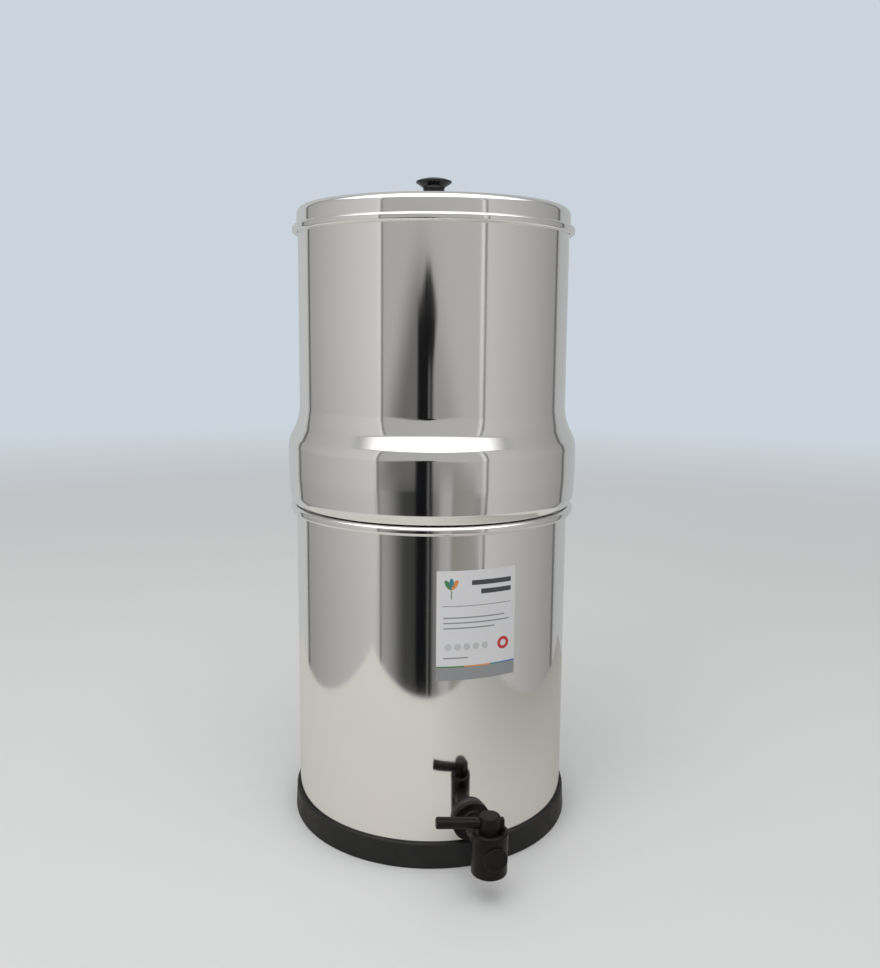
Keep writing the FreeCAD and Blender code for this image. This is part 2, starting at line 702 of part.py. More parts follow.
def lever_spigot(radius):
    """Thin end of the lever, from inside the cap to a short way into the shaft."""
    root, tip = lever_line()
    along = (tip - root).normalize()
    return rod(radius, root - along * LEVER_SPIGOT_DEPTH, root + along * LEVER_ROOT_RADIUS)


def tap_lever():
    """Round lever that widens to its tip, with a thin end let into the cap."""
    root, tip = lever_line()
    length = (tip - root).Length
    shaft = turned([
        (0, 0, 0),
        (LEVER_ROOT_RADIUS, 0, 0),
        (LEVER_TIP_RADIUS, length, LEVER_TIP_FILLET),
        (0, length, 0),
    ])
    shaft.Placement = FreeCAD.Placement(root, FreeCAD.Rotation(Z_AXIS, tip - root))
    shaft = shaft.cut(rod(CAP_RADIUS + RUNNING_GAP, ORIGIN, Z_AXIS * (BARREL_TOP_Z + 2 * CAP_HEIGHT)))
    lever = shaft.fuse(lever_spigot(LEVER_SPIGOT_RADIUS))
    lever.rotate(ORIGIN, Z_AXIS, LEVER_REST_ANGLE)
    return moved(lever, 0, TAP_AXIS_Y, 0).removeSplitter()


def tap_outer_washer():
    """Rubber washer between flange and chamber, its back shaped to the chamber's side."""
    front = at_tap(0, TAP_REACH - OUTER_WASHER_THICKNESS, 0)
    washer = rod(FLANGE_RADIUS, front, at_tap(0, TAP_REACH + FLANGE_RADIUS, 0))
    washer = washer.cut(Part.makeCylinder(LOWER_RADIUS + RUNNING_GAP, SEAM_Z))
    return washer.cut(rod(SHANK_RADIUS + RUNNING_GAP, at_tap(0, 0, 0), at_tap(0, 2 * TAP_REACH, 0)))


def tap_inner_washer():
    """Rubber washer inside the chamber, its front shaped to the chamber's inner side."""
    front_y = TAP_REACH
    back_y = TAP_REACH + VESSEL_WALL + INNER_WASHER_THICKNESS
    washer = rod(INNER_WASHER_RADIUS, at_tap(0, front_y, 0), at_tap(0, back_y, 0))
    washer = washer.common(Part.makeCylinder(LOWER_INSIDE - RUNNING_GAP, SEAM_Z))
    return washer.cut(rod(SHANK_RADIUS + RUNNING_GAP, at_tap(0, 0, 0), at_tap(0, 2 * TAP_REACH, 0)))


def tap_lock_nut():
    """Hexagonal nut on the shank, its outer face chamfered."""
    front_y = TAP_REACH + VESSEL_WALL + INNER_WASHER_THICKNESS
    steps = [2 * math.pi * (side + 0.5) / LOCK_NUT_SIDES for side in range(LOCK_NUT_SIDES)]
    hexagon = [at_tap(LOCK_NUT_RADIUS * math.sin(a), front_y, LOCK_NUT_RADIUS * math.cos(a)) for a in steps]
    prism = Part.Face(Part.makePolygon(hexagon + hexagon[:1])).extrude(Y_AXIS * LOCK_NUT_THICKNESS)
    blank = across_tap([
        (SHANK_RADIUS + THREAD_GAP, front_y, 0),
        (LOCK_NUT_RADIUS, front_y, 0),
        (LOCK_NUT_RADIUS, front_y + LOCK_NUT_THICKNESS - LOCK_NUT_CHAMFER, 0),
        (LOCK_NUT_RADIUS - 2 * LOCK_NUT_CHAMFER, front_y + LOCK_NUT_THICKNESS, 0),
        (SHANK_RADIUS + THREAD_GAP, front_y + LOCK_NUT_THICKNESS, 0),
    ])
    return prism.common(blank)


def candle_pieces():
    """The five pieces of each candle, left and right."""
    pieces = {}
    makers = {
        "candle_ceramic": candle_ceramic,
        "candle_core": candle_core,
        "candle_base": candle_base,
        "candle_washer": candle_washer,
        "candle_nut": candle_nut,
    }
    for side, sign in SIDES.items():
        for name, maker in makers.items():
            pieces[f"{name}_{side}"] = moved(maker(), sign * CANDLE_SPACING / 2, 0, 0)
    return pieces


def all_pieces():
    """Every piece by its node's name."""
    seals = seal_heights()
    pieces = {
        "base_ring": base_ring(),
        "lower_chamber": lower_chamber(),
        "upper_chamber": upper_chamber(),
        "lid": lid(),
        "lid_knob": lid_knob(),
        "lid_washer": lid_washer(),
        "lid_screw": lid_screw(),
        "tap_body": tap_body(),
        "tap_outer_washer": tap_outer_washer(),
        "tap_inner_washer": tap_inner_washer(),
        "tap_lock_nut": tap_lock_nut(),
        "tap_lever": tap_lever(),
        "valve_plug": valve_plug(),
        "valve_retainer": valve_retainer(),
        "valve_seal_lower": valve_seal(seals["lower"]),
        "valve_seal_upper": valve_seal(seals["upper"]),
    }
    pieces.update(candle_pieces())
    return pieces


def main():
    """Write one STEP file for each piece."""
    os.makedirs("parts", exist_ok=True)
    for name, shape in sorted(all_pieces().items()):
        box = shape.BoundBox
        print(f"{name}: {len(shape.Solids)} solid, z {box.ZMin:.2f} to {box.ZMax:.2f}")
        shape.exportStep(f"parts/{name}.step")


main()
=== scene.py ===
"""Looks of a gravity water filter: two steel chambers, a lid with a knob, candles and a lever tap."""

import logging
import math
from collections.abc import Iterable, Sequence
from dataclasses import dataclass
from enum import Enum

import bmesh
import bpy
from mathutils import Matrix, Vector


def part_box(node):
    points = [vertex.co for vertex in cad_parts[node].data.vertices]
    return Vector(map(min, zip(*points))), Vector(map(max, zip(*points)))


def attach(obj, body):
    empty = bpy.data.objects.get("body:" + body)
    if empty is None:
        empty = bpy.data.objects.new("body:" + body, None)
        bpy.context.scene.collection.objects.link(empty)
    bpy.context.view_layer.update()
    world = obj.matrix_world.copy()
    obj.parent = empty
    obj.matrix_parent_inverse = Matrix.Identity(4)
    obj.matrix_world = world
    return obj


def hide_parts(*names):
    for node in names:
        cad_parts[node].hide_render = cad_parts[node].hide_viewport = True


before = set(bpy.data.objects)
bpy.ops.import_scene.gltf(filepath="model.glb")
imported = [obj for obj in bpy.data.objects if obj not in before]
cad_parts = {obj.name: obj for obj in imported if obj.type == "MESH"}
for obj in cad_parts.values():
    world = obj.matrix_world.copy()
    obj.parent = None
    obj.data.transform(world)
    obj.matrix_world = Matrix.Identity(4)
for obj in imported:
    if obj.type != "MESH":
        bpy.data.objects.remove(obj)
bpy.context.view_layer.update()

LOG = logging.getLogger("water_filter")

# Pieces are modelled in millimetres and turned into metres when they are finished.
MM = 0.001
# Points of a shape that are nearer than this become one, in millimetres.
TOUCHING = 1e-5
# Edges that turn more than this stay sharp.
SHARP_DEGREES = 32.0
# The weight with which only the largest faces round a point shade it.
LARGEST_FACES_ONLY = 100
# The profile of a round bevel.
ROUND_PROFILE = 0.5

UP = Vector((0, 0, 1))
TO_CHAMBER = Vector((0, 1, 0))

Colour = tuple[float, float, float]
Shape = bmesh.types.BMesh
Socket = bpy.types.NodeSocket


class Body(Enum):
    """The groups of pieces that move together."""

    LOWER = "lower"
    VALVE = "tap_valve"
    UPPER = "upper"
    LID = "lid"


class Slot(Enum):
    """Names of the material slots."""

    STEEL = "polished_steel"
    TAP = "tap_plastic"
    KNOB = "knob_plastic"
    RUBBER = "rubber"
    CERAMIC = "ceramic"
    CARBON = "carbon"
    WHITE = "white_plastic"
    SCREW = "screw_steel"


class Cut(Enum):
    """How one solid changes another."""

    AWAY = "DIFFERENCE"
    ONTO = "UNION"


class Shader:
    """A node tree of one material or of the world, with short ways to add nodes to it."""

    def __init__(self, tree: bpy.types.NodeTree) -> None:
        """Empty the tree.

        Args:
            tree: The tree to fill.
        """
        self.tree = tree
        tree.nodes.clear()

    def add(self, kind: str, inputs: dict | None = None, **settings: object) -> bpy.types.Node:
        """Add a node.

        Args:
            kind: The node's type, without the word ShaderNode.
            inputs: Values or output sockets for its inputs, by name or number.
            settings: The node's own properties.

        Returns:
            The new node.
        """
        node = self.tree.nodes.new("ShaderNode" + kind)
        for key, value in settings.items():
            setattr(node, key, value)
        for key, value in (inputs or {}).items():
            if isinstance(value, Socket):
                self.tree.links.new(value, node.inputs[key])
            else:
                node.inputs[key].default_value = value
        return node

    def math(self, operation: str, *values: object) -> Socket:
        """Add a Math node with a number or socket for each input, and return its result."""
        return self.add("Math", dict(enumerate(values)), operation=operation).outputs[0]

    def ramp(self, value: object, start: object, end: object) -> Socket:
        """Rise smoothly from 0 where the value is start to 1 where it is end."""
        inputs = {"Value": value, "From Min": start, "From Max": end}
        return self.add("MapRange", inputs, interpolation_type="SMOOTHSTEP").outputs[0]

    def between(self, value: object, start: float, end: float, low: float, high: float) -> Socket:
        """Go in a straight line from low at start to high at end, and no further."""
        inputs = {"Value": value, "From Min": start, "From Max": end, "To Min": low, "To Max": high}
        return self.add("MapRange", inputs).outputs[0]

    def dimmed(self, colour: object, level: object) -> Socket:
        """Scale a colour by a level."""
        return self.add("VectorMath", {0: colour, "Scale": level}, operation="SCALE").outputs[0]

    def mix(self, factor: object, first: object, second: object) -> Socket:
        """Mix two colours.

        Args:
            factor: The share of the second one.
            first: A colour or socket.
            second: A colour or socket.

        Returns:
            The output socket.
        """
        # Of this node's sockets, 0 is the factor, 6 and 7 are the colours and 2 is the result.
        node = self.add("Mix", data_type="RGBA")
        for index, value in ((0, factor), (6, first), (7, second)):
            if isinstance(value, Socket):
                self.tree.links.new(value, node.inputs[index])
            else:
                node.inputs[index].default_value = (*value, 1) if isinstance(value, tuple) else value
        return node.outputs[2]

    def noise(self, scale: Colour, detail: float = 2.0, roughness: float = 0.5) -> Socket:
        """Add noise that is fixed to the object.

        Args:
            scale: How many waves it has in a metre, along X, Y and Z.
            detail: How many finer layers it has.
            roughness: How strong these are.

        Returns:
            The noise's value, from 0 to 1.
        """
        place = self.add("TexCoord").outputs["Object"]
        stretched = self.add("Mapping", {"Vector": place, "Scale": scale}).outputs[0]
        inputs = {"Vector": stretched, "Scale": 1.0, "Detail": detail, "Roughness": roughness}
        return self.add("TexNoise", inputs).outputs[0]


def even(waves: float) -> Colour:
    """The same number of waves in a metre along each axis."""
    return (waves, waves, waves)


def dulled(colour: Colour, share: float) -> Colour:
    """The colour with each channel times a share."""
    return tuple(channel * share for channel in colour)


def blank_material(name: str) -> tuple[bpy.types.Material, Shader]:
    """Make a material with an empty tree.

    Args:
        name: The material's name.

    Returns:
        The material and the shader that fills its tree.
    """
    made = bpy.data.materials.new(name)
    made.use_nodes = True
    return made, Shader(made.node_tree)


class Finish:
    """What every finish has: a name, and nodes that feed one surface."""

    name: str

    def inputs(self, shader: Shader) -> dict:
        """Add the finish's nodes and return the surface's inputs."""
        raise NotImplementedError

    def material(self) -> bpy.types.Material:
        """Build the finish's material.

        Returns:
            The material.
        """
        made, shader = blank_material(self.name)
        surface = shader.add("BsdfPrincipled", self.inputs(shader))
        shader.add("OutputMaterial", {"Surface": surface.outputs[0]})
        return made


@dataclass(frozen=True)
class PolishedSteel(Finish):
    """Steel sheet polished along its height, with faint streaks and a haze of wiping marks."""

    name: str = "polished steel"
    colour: Colour = (0.915, 0.915, 0.91)
    warm_colour: Colour = (0.91, 0.902, 0.885)
    roughness: float = 0.055
    haze: float = 0.05
    streaks: float = 900.0
    streak_drop: float = 5.0
    streak_depth: float = 0.006
    clouds: float = 9.0
    detail: float = 3.0
    clean_below: float = 0.1
    worn_above: float = 0.45

    def inputs(self, shader: Shader) -> dict:
        """Add the steel's nodes.

        Args:
            shader: Where they go.

        Returns:
            The surface's inputs.
        """
        streaks = shader.noise((self.streaks, self.streaks, self.streak_drop), self.detail)
        clouds = shader.noise(even(self.clouds), self.detail)
        worn = shader.math("MULTIPLY", streaks, clouds)
        hazy = self.roughness + self.haze
        rough = shader.between(worn, self.clean_below, self.worn_above, self.roughness, hazy)
        bump = shader.add("Bump", {"Strength": self.streak_depth, "Distance": MM, "Height": streaks})
        return {
            "Base Color": shader.mix(clouds, self.colour, self.warm_colour),
            "Metallic": 1.0,
            "Roughness": rough,
            "Normal": bump.outputs[0],
        }


@dataclass(frozen=True)
class Moulded(Finish):
    """A moulded, pressed or fired surface: an even colour with grain, patches and a worn sheen."""

    name: str
    colour: Colour
    patch_colour: Colour
    roughness: float
    sheen_change: float
    grain: float
    grain_depth: float
    shine: float = 0.5
    detail: float = 4.0
    fineness: float = 0.6
    relief: float = MM / 4
    grains_per_patch: float = 18.0
    patch_detail: float = 3.0
    patch_from: float = 0.35
    patch_to: float = 0.7

    def inputs(self, shader: Shader) -> dict:
        """Add the surface's nodes.

        Args:
            shader: Where they go.

        Returns:
            The surface's inputs.
        """
        grain = shader.noise(even(self.grain), self.detail, self.fineness)
        clouds = shader.noise(even(self.grain / self.grains_per_patch), self.patch_detail)
        patches = shader.ramp(clouds, self.patch_from, self.patch_to)
        rough = shader.between(patches, 0.0, 1.0, self.roughness, self.roughness + self.sheen_change)
        bump = shader.add("Bump", {"Strength": self.grain_depth, "Distance": self.relief, "Height": grain})
        return {
            "Base Color": shader.mix(patches, self.colour, self.patch_colour),
            "Roughness": rough,
            "Specular IOR Level": self.shine,
            "Normal": bump.outputs[0],
        }


@dataclass(frozen=True)
class Printed(Finish):
    """Coated label paper, bare or under ink, with fine fibres and a slight mottle."""

    name: str
    colour: Colour
    fibres: float = 2600.0
    mottle: float = 0.07
    roughness: float = 0.38
    fibre_length: float = 3.0
    fibre_depth: float = 0.05
    detail: float = 3.0
    fineness: float = 0.6
    relief: float = MM / 10

    def inputs(self, shader: Shader) -> dict:
        """Add the paper's nodes.

        Args:
            shader: Where they go.

        Returns:
            The surface's inputs.
        """
        scale = (self.fibres, self.fibres, self.fibres / self.fibre_length)
        fibres = shader.noise(scale, self.detail, self.fineness)
        bump = shader.add("Bump", {"Strength": self.fibre_depth, "Distance": self.relief, "Height": fibres})
        return {
            "Base Color": shader.mix(fibres, self.colour, dulled(self.colour, 1 - self.mottle)),
            "Roughness": self.roughness,
            "Normal": bump.outputs[0],
        }


STEEL = PolishedSteel()
SCREW_STEEL = PolishedSteel(name="screw steel", roughness=0.22, haze=0.14, streaks=500.0, streak_drop=500.0)
TAP_PLASTIC = Moulded(
    "tap plastic",
    (0.006, 0.0055, 0.005),
    (0.010, 0.009, 0.0085),
    roughness=0.28,
    sheen_change=0.14,
    grain=1900.0,
    grain_depth=0.12,
    shine=0.16,
)
KNOB_PLASTIC = Moulded(
    "knob plastic",
    (0.006, 0.006, 0.0065),
    (0.010, 0.010, 0.010),
    roughness=0.12,
    sheen_change=0.08,
    grain=900.0,
    grain_depth=0.03,
    shine=0.38,
)
RING_RUBBER = Moulded(
    "ring rubber",
    (0.010, 0.010, 0.0105),
    (0.016, 0.016, 0.0155),
    roughness=0.46,
    sheen_change=0.20,
    grain=1400.0,
    grain_depth=0.20,
    shine=0.30,
)
SEAL_RUBBER = Moulded(
    "seal rubber",
    (0.012, 0.012, 0.012),
    (0.020, 0.020, 0.020),
    roughness=0.45,
    sheen_change=0.15,
    grain=2200.0,
    grain_depth=0.15,
)
FIRED_CERAMIC = Moulded(
    "fired ceramic",
    (0.80, 0.77, 0.69),
    (0.70, 0.66, 0.57),
    roughness=0.82,
    sheen_change=0.12,
    grain=1500.0,
    grain_depth=0.5,
)
PRESSED_CARBON = Moulded(
    "pressed carbon",
    (0.018, 0.018, 0.018),
    (0.035, 0.034, 0.033),
    roughness=0.80,
    sheen_change=0.15,
    grain=1100.0,
    grain_depth=0.8,
)
WHITE_PLASTIC = Moulded(
    "white plastic",
    (0.74, 0.74, 0.72),
    (0.68, 0.68, 0.655),
    roughness=0.34,
    sheen_change=0.14,
    grain=1600.0,
    grain_depth=0.1,
)

MATERIALS: dict[str, bpy.types.Material] = {}


def material_of(finish: Finish) -> bpy.types.Material:
    """Look up a finish's material, which is built the first time that it is asked for.

    Args:
        finish: The finish.

    Returns:
        Its material.
    """
    if finish.name not in MATERIALS:
        MATERIALS[finish.name] = finish.material()
    return MATERIALS[finish.name]


@dataclass(frozen=True)
class Corner:
    """A corner of an outline: its distance from the axis, its place along it and its rounding."""

    r: float
    z: float
    fillet: float = 0.0


@dataclass(frozen=True)
class Lathe:
    """Turns outlines about the Z axis."""

    steps: int = 96
    degrees_per_chord: float = 9.0

    def wire(self, shape: Shape, corners: Sequence[Corner], closed: bool) -> None:
        """Draw an outline and round its corners.

        Args:
            shape: Where the outline is drawn, in the XZ plane.
            corners: Its corners in order.
            closed: Whether the last one joins the first.
        """
        points = [shape.verts.new((corner.r, 0, corner.z)) for corner in corners]
        following = points[1:] + points[:1] if closed else points[1:]
        for start, end in zip(points, following):
            shape.edges.new((start, end))
        places = [point.co.copy() for point in points]
        for index, (point, corner) in enumerate(zip(points, corners)):
            if not corner.fillet:
                continue
            arriving = places[index] - places[index - 1]
            leaving = places[(index + 1) % len(places)] - places[index]
            turn = arriving.angle(leaving)
            bmesh.ops.bevel(
                shape,
                geom=[point],
                offset=corner.fillet * math.tan(turn / 2),
                offset_type="OFFSET",
                segments=max(2, round(math.degrees(turn) / self.degrees_per_chord)),
                profile=ROUND_PROFILE,
                affect="VERTICES",
                material=-1,
            )

    def turned(self, corners: Sequence[Corner], closed: bool = False) -> Shape:
        """Turn an outline into a skin that faces outwards.

        Args:
            corners: The outline's corners in order.
            closed: Whether the last one joins the first.

        Returns:
            The skin, in millimetres.
        """
        shape = bmesh.new()
        self.wire(shape, corners, closed)
        bmesh.ops.spin(
            shape,
            geom=shape.verts[:] + shape.edges[:],
            cent=(0, 0, 0),
            axis=(0, 0, 1),
            dvec=(0, 0, 0),
            angle=math.tau,
            steps=self.steps,
            use_merge=True,
        )
        bmesh.ops.remove_doubles(shape, verts=shape.verts[:], dist=TOUCHING)
        bmesh.ops.recalc_face_normals(shape, faces=shape.faces[:])
        return shape

    def walled(self, corners: Sequence[Corner], wall: float) -> Shape:
        """Turn the outline of the convex side of a sheet and give it its wall.

        Args:
            corners: The outline's corners in order.
            wall: The sheet's thickness.

        Returns:
            The closed sheet, in millimetres.
        """
        shape = self.turned(corners)
        bmesh.ops.solidify(shape, geom=shape.faces[:], thickness=wall)
        return shape


FINE_LATHE = Lathe(steps=256, degrees_per_chord=6.0)
KNOB_LATHE = Lathe(steps=128)
LATHE = Lathe()


def bead(root: float, edge: float, outwards: int, upwards: int, width: float, height: float) -> list[Corner]:
    """Corners of the convex side of a rolled edge.

    Args:
        root: The radius of the wall's side that becomes the edge's convex side.
        edge: The height of the edge's outermost line.
        outwards: 1 or -1, the side that the edge rolls to.
        upwards: 1 or -1, the way the wall ends.
        width: How wide the edge is.
        height: How high it is.

    Returns:
        The corners from the wall to the edge's hidden end.
    """
    fullness = 0.495
    tuck = 0.7
    fold = min(width, height) * fullness
    far = root + outwards * width
    back = edge - upwards * height
    return [
        Corner(root, edge, fold),
        Corner(far, edge, fold),
        Corner(far, back, fold),
        Corner(far - outwards * width * tuck, back),
    ]


def block(size: Vector, middle: Vector, edge: float) -> Shape:
    """A block with rounded edges.

    Args:
        size: Its lengths along X, Y and Z.
        middle: The place of its middle.
        edge: The radius of its edges.

    Returns:
        The block, in millimetres.
    """
    shape = bmesh.new()
    bmesh.ops.create_cube(shape, size=1.0)
    bmesh.ops.scale(shape, vec=size, verts=shape.verts[:])
    bmesh.ops.translate(shape, vec=middle, verts=shape.verts[:])
    bmesh.ops.bevel(
        shape,
        geom=shape.edges[:],
        offset=edge,
        offset_type="OFFSET",
        segments=3,
        profile=ROUND_PROFILE,
        affect="EDGES",
        material=-1,
    )
    return shape


def rod(radius: float, length: float, start: Vector, along: Vector) -> Shape:
    """A plain round tool for cutting holes, from the middle of its first end along its axis."""
    shape = LATHE.turned([Corner(0, 0), Corner(radius, 0), Corner(radius, length), Corner(0, length)])
    return placed(shape, start, along)


def placed(shape: Shape, start: Vector, along: Vector) -> Shape:
    """Turn a shape's Z axis to a direction and move its origin to a place.

    Args:
        shape: The shape, which is changed.
        start: Where its origin goes.
        along: Where its Z axis points.

    Returns:
        The same shape.
    """
    turn = along.to_track_quat("Z", "Y").to_matrix().to_4x4()
    bmesh.ops.transform(shape, matrix=Matrix.Translation(start) @ turn, verts=shape.verts[:])
    return shape


def combined(base: Shape, cut: Cut, tools: Iterable[Shape]) -> Shape:
    """Join solids to another or cut them from it.

    Args:
        base: The solid that stays.
        cut: Whether the others are joined or cut away.
        tools: The other solids, which are used up.

    Returns:
        A new solid.
    """
    helpers = [shown("solid", mesh_of("solid", base))]
    for tool in tools:
        helpers.append(shown("tool", mesh_of("tool", tool)))
        modifier = helpers[0].modifiers.new("cut", "BOOLEAN")
        modifier.operation = cut.value
        modifier.solver = "EXACT"
        modifier.object = helpers[-1]
    graph = bpy.context.evaluated_depsgraph_get()
    result = bmesh.new()
    result.from_mesh(helpers[0].evaluated_get(graph).to_mesh())
    for helper in helpers:
        bpy.data.objects.remove(helper)
    bmesh.ops.remove_doubles(result, verts=result.verts[:], dist=TOUCHING)
    return result


def mesh_of(name: str, shape: Shape) -> bpy.types.Mesh:
    """Make a mesh of a shape.

    Args:
        name: The mesh's name.
        shape: The shape, which is used up.

    Returns:
        The mesh.
    """
    mesh = bpy.data.meshes.new(name)
    shape.to_mesh(mesh)
    shape.free()
    return mesh


def shown(name: str, data: bpy.types.ID) -> bpy.types.Object:
    """Put a mesh, a lamp or a camera into the scene.

    Args:
        name: The object's name.
        data: What it holds.

    Returns:
        The object.
    """
    made = bpy.data.objects.new(name, data)
    bpy.context.scene.collection.objects.link(made)
    return made


def finished(
    name: str,
    shape: Shape,
    finish: Finish,
    body: Body,
    nodes: Sequence[str] = (),
) -> None:
    """Make a shape a piece of the filter.

    Args:
        name: The piece's name.
        shape: Its shape in millimetres, which is used up.
        finish: Its finish.
        body: What it moves with.
        nodes: The model's nodes that it stands for.
    """
    bmesh.ops.scale(shape, vec=(MM, MM, MM), verts=shape.verts[:])
    mesh = mesh_of(name, shape)
    mesh.shade_smooth()
    mesh.set_sharp_from_angle(angle=math.radians(SHARP_DEGREES))
    mesh.materials.append(material_of(finish))
    piece = shown(name, mesh)
    # Long walls keep their own normals, whatever the fillets beside them do.
    shading = piece.modifiers.new("even shading", "WEIGHTED_NORMAL")
    shading.keep_sharp = True
    shading.weight = LARGEST_FACES_ONLY
    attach(piece, body.value)
    if nodes:
        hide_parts(*nodes)
    LOG.info("%s: %d faces", name, len(mesh.polygons))


def dressed(node: str, finish: Finish) -> None:
    """Give a node of the model a finish.

    Args:
        node: The node's name.
        finish: Its finish.
    """
    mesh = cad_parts[node].data
    mesh.materials.clear()
    mesh.materials.append(material_of(finish))
    LOG.info("%s: model's own shape, %s", node, finish.name)


@dataclass(frozen=True)
class BaseRing:
    """Rubber ring that the lower chamber stands in."""

    ledge_inside: float = 98.5
    ledge_height: float = 5.0
    wall_inside: float = 107.55
    foot_radius: float = 111.0
    top_radius: float = 110.1
    height: float = 18.7
    edge: float = 1.0
    lip: float = 0.5

    def build(self) -> None:
        """Turn the ring."""
        outline = [
            Corner(self.ledge_inside, 0, self.lip),
            Corner(self.foot_radius, 0, self.edge),
            Corner(self.top_radius, self.height, self.edge),
            Corner(self.wall_inside, self.height, self.lip),
            Corner(self.wall_inside, self.ledge_height, self.lip),
            Corner(self.ledge_inside, self.ledge_height, self.lip),
        ]
        ring = FINE_LATHE.turned(outline, closed=True)
        finished("foot_ring", ring, RING_RUBBER, Body.LOWER, ["base_ring"])


@dataclass(frozen=True)
class Tap:
    """Plastic tap: a body on a shank through the chamber's wall and a plug that a lever turns."""

    height: float = 35.5
    axis_y: float = -150.1
    shank_radius: float = 8.0
    shank_end: float = 56.8
    shank_bore: float = 4.4
    shank_edge: float = 0.6
    flange_radius: float = 14.4
    flange_front: float = 37.0
    flange_back: float = 40.6
    flange_fillet: float = 2.2
    flange_front_edge: float = 1.0
    flange_back_edge: float = 0.3
    barrel_top: float = 50.3
    barrel_foot: float = 19.4
    barrel_top_radius: float = 13.1
    barrel_foot_radius: float = 12.5
    foot_chamfer: float = 1.1
    top_edge: float = 1.8
    boss_radius: float = 8.3
    boss_front: float = 14.4
    boss_edge: float = 0.7
    outlet_radius: float = 6.9
    ledge: float = 23.8
    bore: float = 8.65
    recess_radius: float = 10.5
    recess_floor: float = 47.4
    ring_top: float = 48.8
    ring_inside: float = 7.35
    ring_edge: float = 0.35
    rib_size: Vector = Vector((2.4, 2.6, 1.45))
    rib_radius: float = 9.7
    rib_lift: float = 0.05
    rib_edge: float = 0.3
    rib_aside: float = 28.6
    travel: float = 90.0
    plug_radius: float = 8.6
    plug_foot: float = 24.1
    plug_shoulder: float = 47.1
    plug_foot_edge: float = 0.4
    plug_shoulder_edge: float = 0.3
    groove_floor: float = 7.3
    groove_heights: tuple[float, float] = (28.9, 42.1)
    groove_width: float = 1.7
    plug_hollow: float = 5.1
    port_radius: float = 4.2
    cap_radius: float = 7.3
    cap_top: float = 61.0
    cap_edge: float = 1.5
    lug_reach: float = 10.1
    lug_width: float = 4.6
    lug_foot: float = 49.1
    lug_height: float = 9.0
    lug_edge: float = 0.7
    rest_angle: float = 173.0
    lever_reach: float = 37.3
    lever_root_radius: float = 3.7
    lever_tip_radius: float = 4.05
    lever_root_drop: float = 5.4
    lever_tip_drop: float = 3.0
    lever_tip_edge: float = 1.3
    spigot_radius: float = 2.6
    spigot_depth: float = 5.0
    fit: float = 0.05
    overrun: float = 1.0

    @property
    def axis(self) -> Vector:
        """The foot of the plug's axis."""
        return Vector((0, self.axis_y, 0))

    @property
    def hub(self) -> Vector:
        """Where the shank's axis meets the plug's."""
        return Vector((0, self.axis_y, self.height))

    def across(self, outline: Sequence[Corner]) -> Shape:
        """Turn an outline about the shank's axis. A corner's z is its distance towards the chamber."""
        return placed(LATHE.turned(outline), self.hub, TO_CHAMBER)

    def upright(self, outline: Sequence[Corner], closed: bool = False) -> Shape:
        """Turn an outline about the plug's axis."""
        return placed(LATHE.turned(outline, closed), self.axis, UP)

    def build_body(self) -> None:
        """Join barrel, boss, flange and shank, and cut the valve's space from them."""
        barrel = self.upright([
            Corner(0, self.barrel_foot),
            Corner(self.barrel_foot_radius, self.barrel_foot, self.foot_chamfer),
            Corner(self.barrel_top_radius, self.barrel_top, self.top_edge),
            Corner(0, self.barrel_top),
        ])
        boss = self.across([
            Corner(0, -self.boss_front),
            Corner(self.boss_radius, -self.boss_front, self.boss_edge),
            Corner(self.boss_radius, 0),
            Corner(0, 0),
        ])
        collar = self.across([
            Corner(0, 0),
            Corner(self.shank_radius, 0),
            Corner(self.shank_radius, self.flange_front, self.flange_fillet),
            Corner(self.flange_radius, self.flange_front, self.flange_front_edge),
            Corner(self.flange_radius, self.flange_back, self.flange_back_edge),
            Corner(self.shank_radius, self.flange_back),
            Corner(self.shank_radius, self.shank_end, self.shank_edge),
            Corner(0, self.shank_end),
        ])
        closed_lug = self.rest_angle + 180
        ribs = [self.rib(closed_lug - self.rib_aside), self.rib(closed_lug + self.travel + self.rib_aside)]
        above = self.barrel_top + self.top_edge
        below = self.barrel_foot - self.foot_chamfer
        chamber = self.upright([
            Corner(0, below),
            Corner(self.outlet_radius, below),
            Corner(self.outlet_radius, self.ledge),
            Corner(self.bore, self.ledge),
            Corner(self.bore, self.recess_floor),
            Corner(self.recess_radius, self.recess_floor),
            Corner(self.recess_radius, above),
            Corner(0, above),
        ])
        bore = rod(self.shank_bore, self.shank_end + self.top_edge, self.hub, TO_CHAMBER)
        shape = combined(barrel, Cut.ONTO, [boss, collar])
        shape = combined(shape, Cut.AWAY, [chamber, bore])
        shape = combined(shape, Cut.ONTO, ribs)
        finished("tap_barrel", shape, TAP_PLASTIC, Body.LOWER, ["tap_body"])

    def rib(self, angle: float) -> Shape:
        """Make one of the two ribs that stop the lug.

        Args:
            angle: Its angle about the plug's axis, in degrees.

        Returns:
            The rib.
        """
        height = self.ring_top + self.rib_size.z / 2 + self.rib_lift
        shape = block(self.rib_size, Vector((self.rib_radius, 0, height)), self.rib_edge)
        return self.pointed(shape, angle)

    def build_retainer(self) -> None:
        """Turn the ring that holds the plug down."""
        outline = [
            Corner(self.ring_inside, self.recess_floor),
            Corner(self.recess_radius, self.recess_floor),
            Corner(self.recess_radius, self.ring_top, self.ring_edge),
            Corner(self.ring_inside, self.ring_top, self.ring_edge),
        ]
        ring = self.upright(outline, closed=True)
        finished("plug_retainer", ring, TAP_PLASTIC, Body.LOWER, ["valve_retainer"])

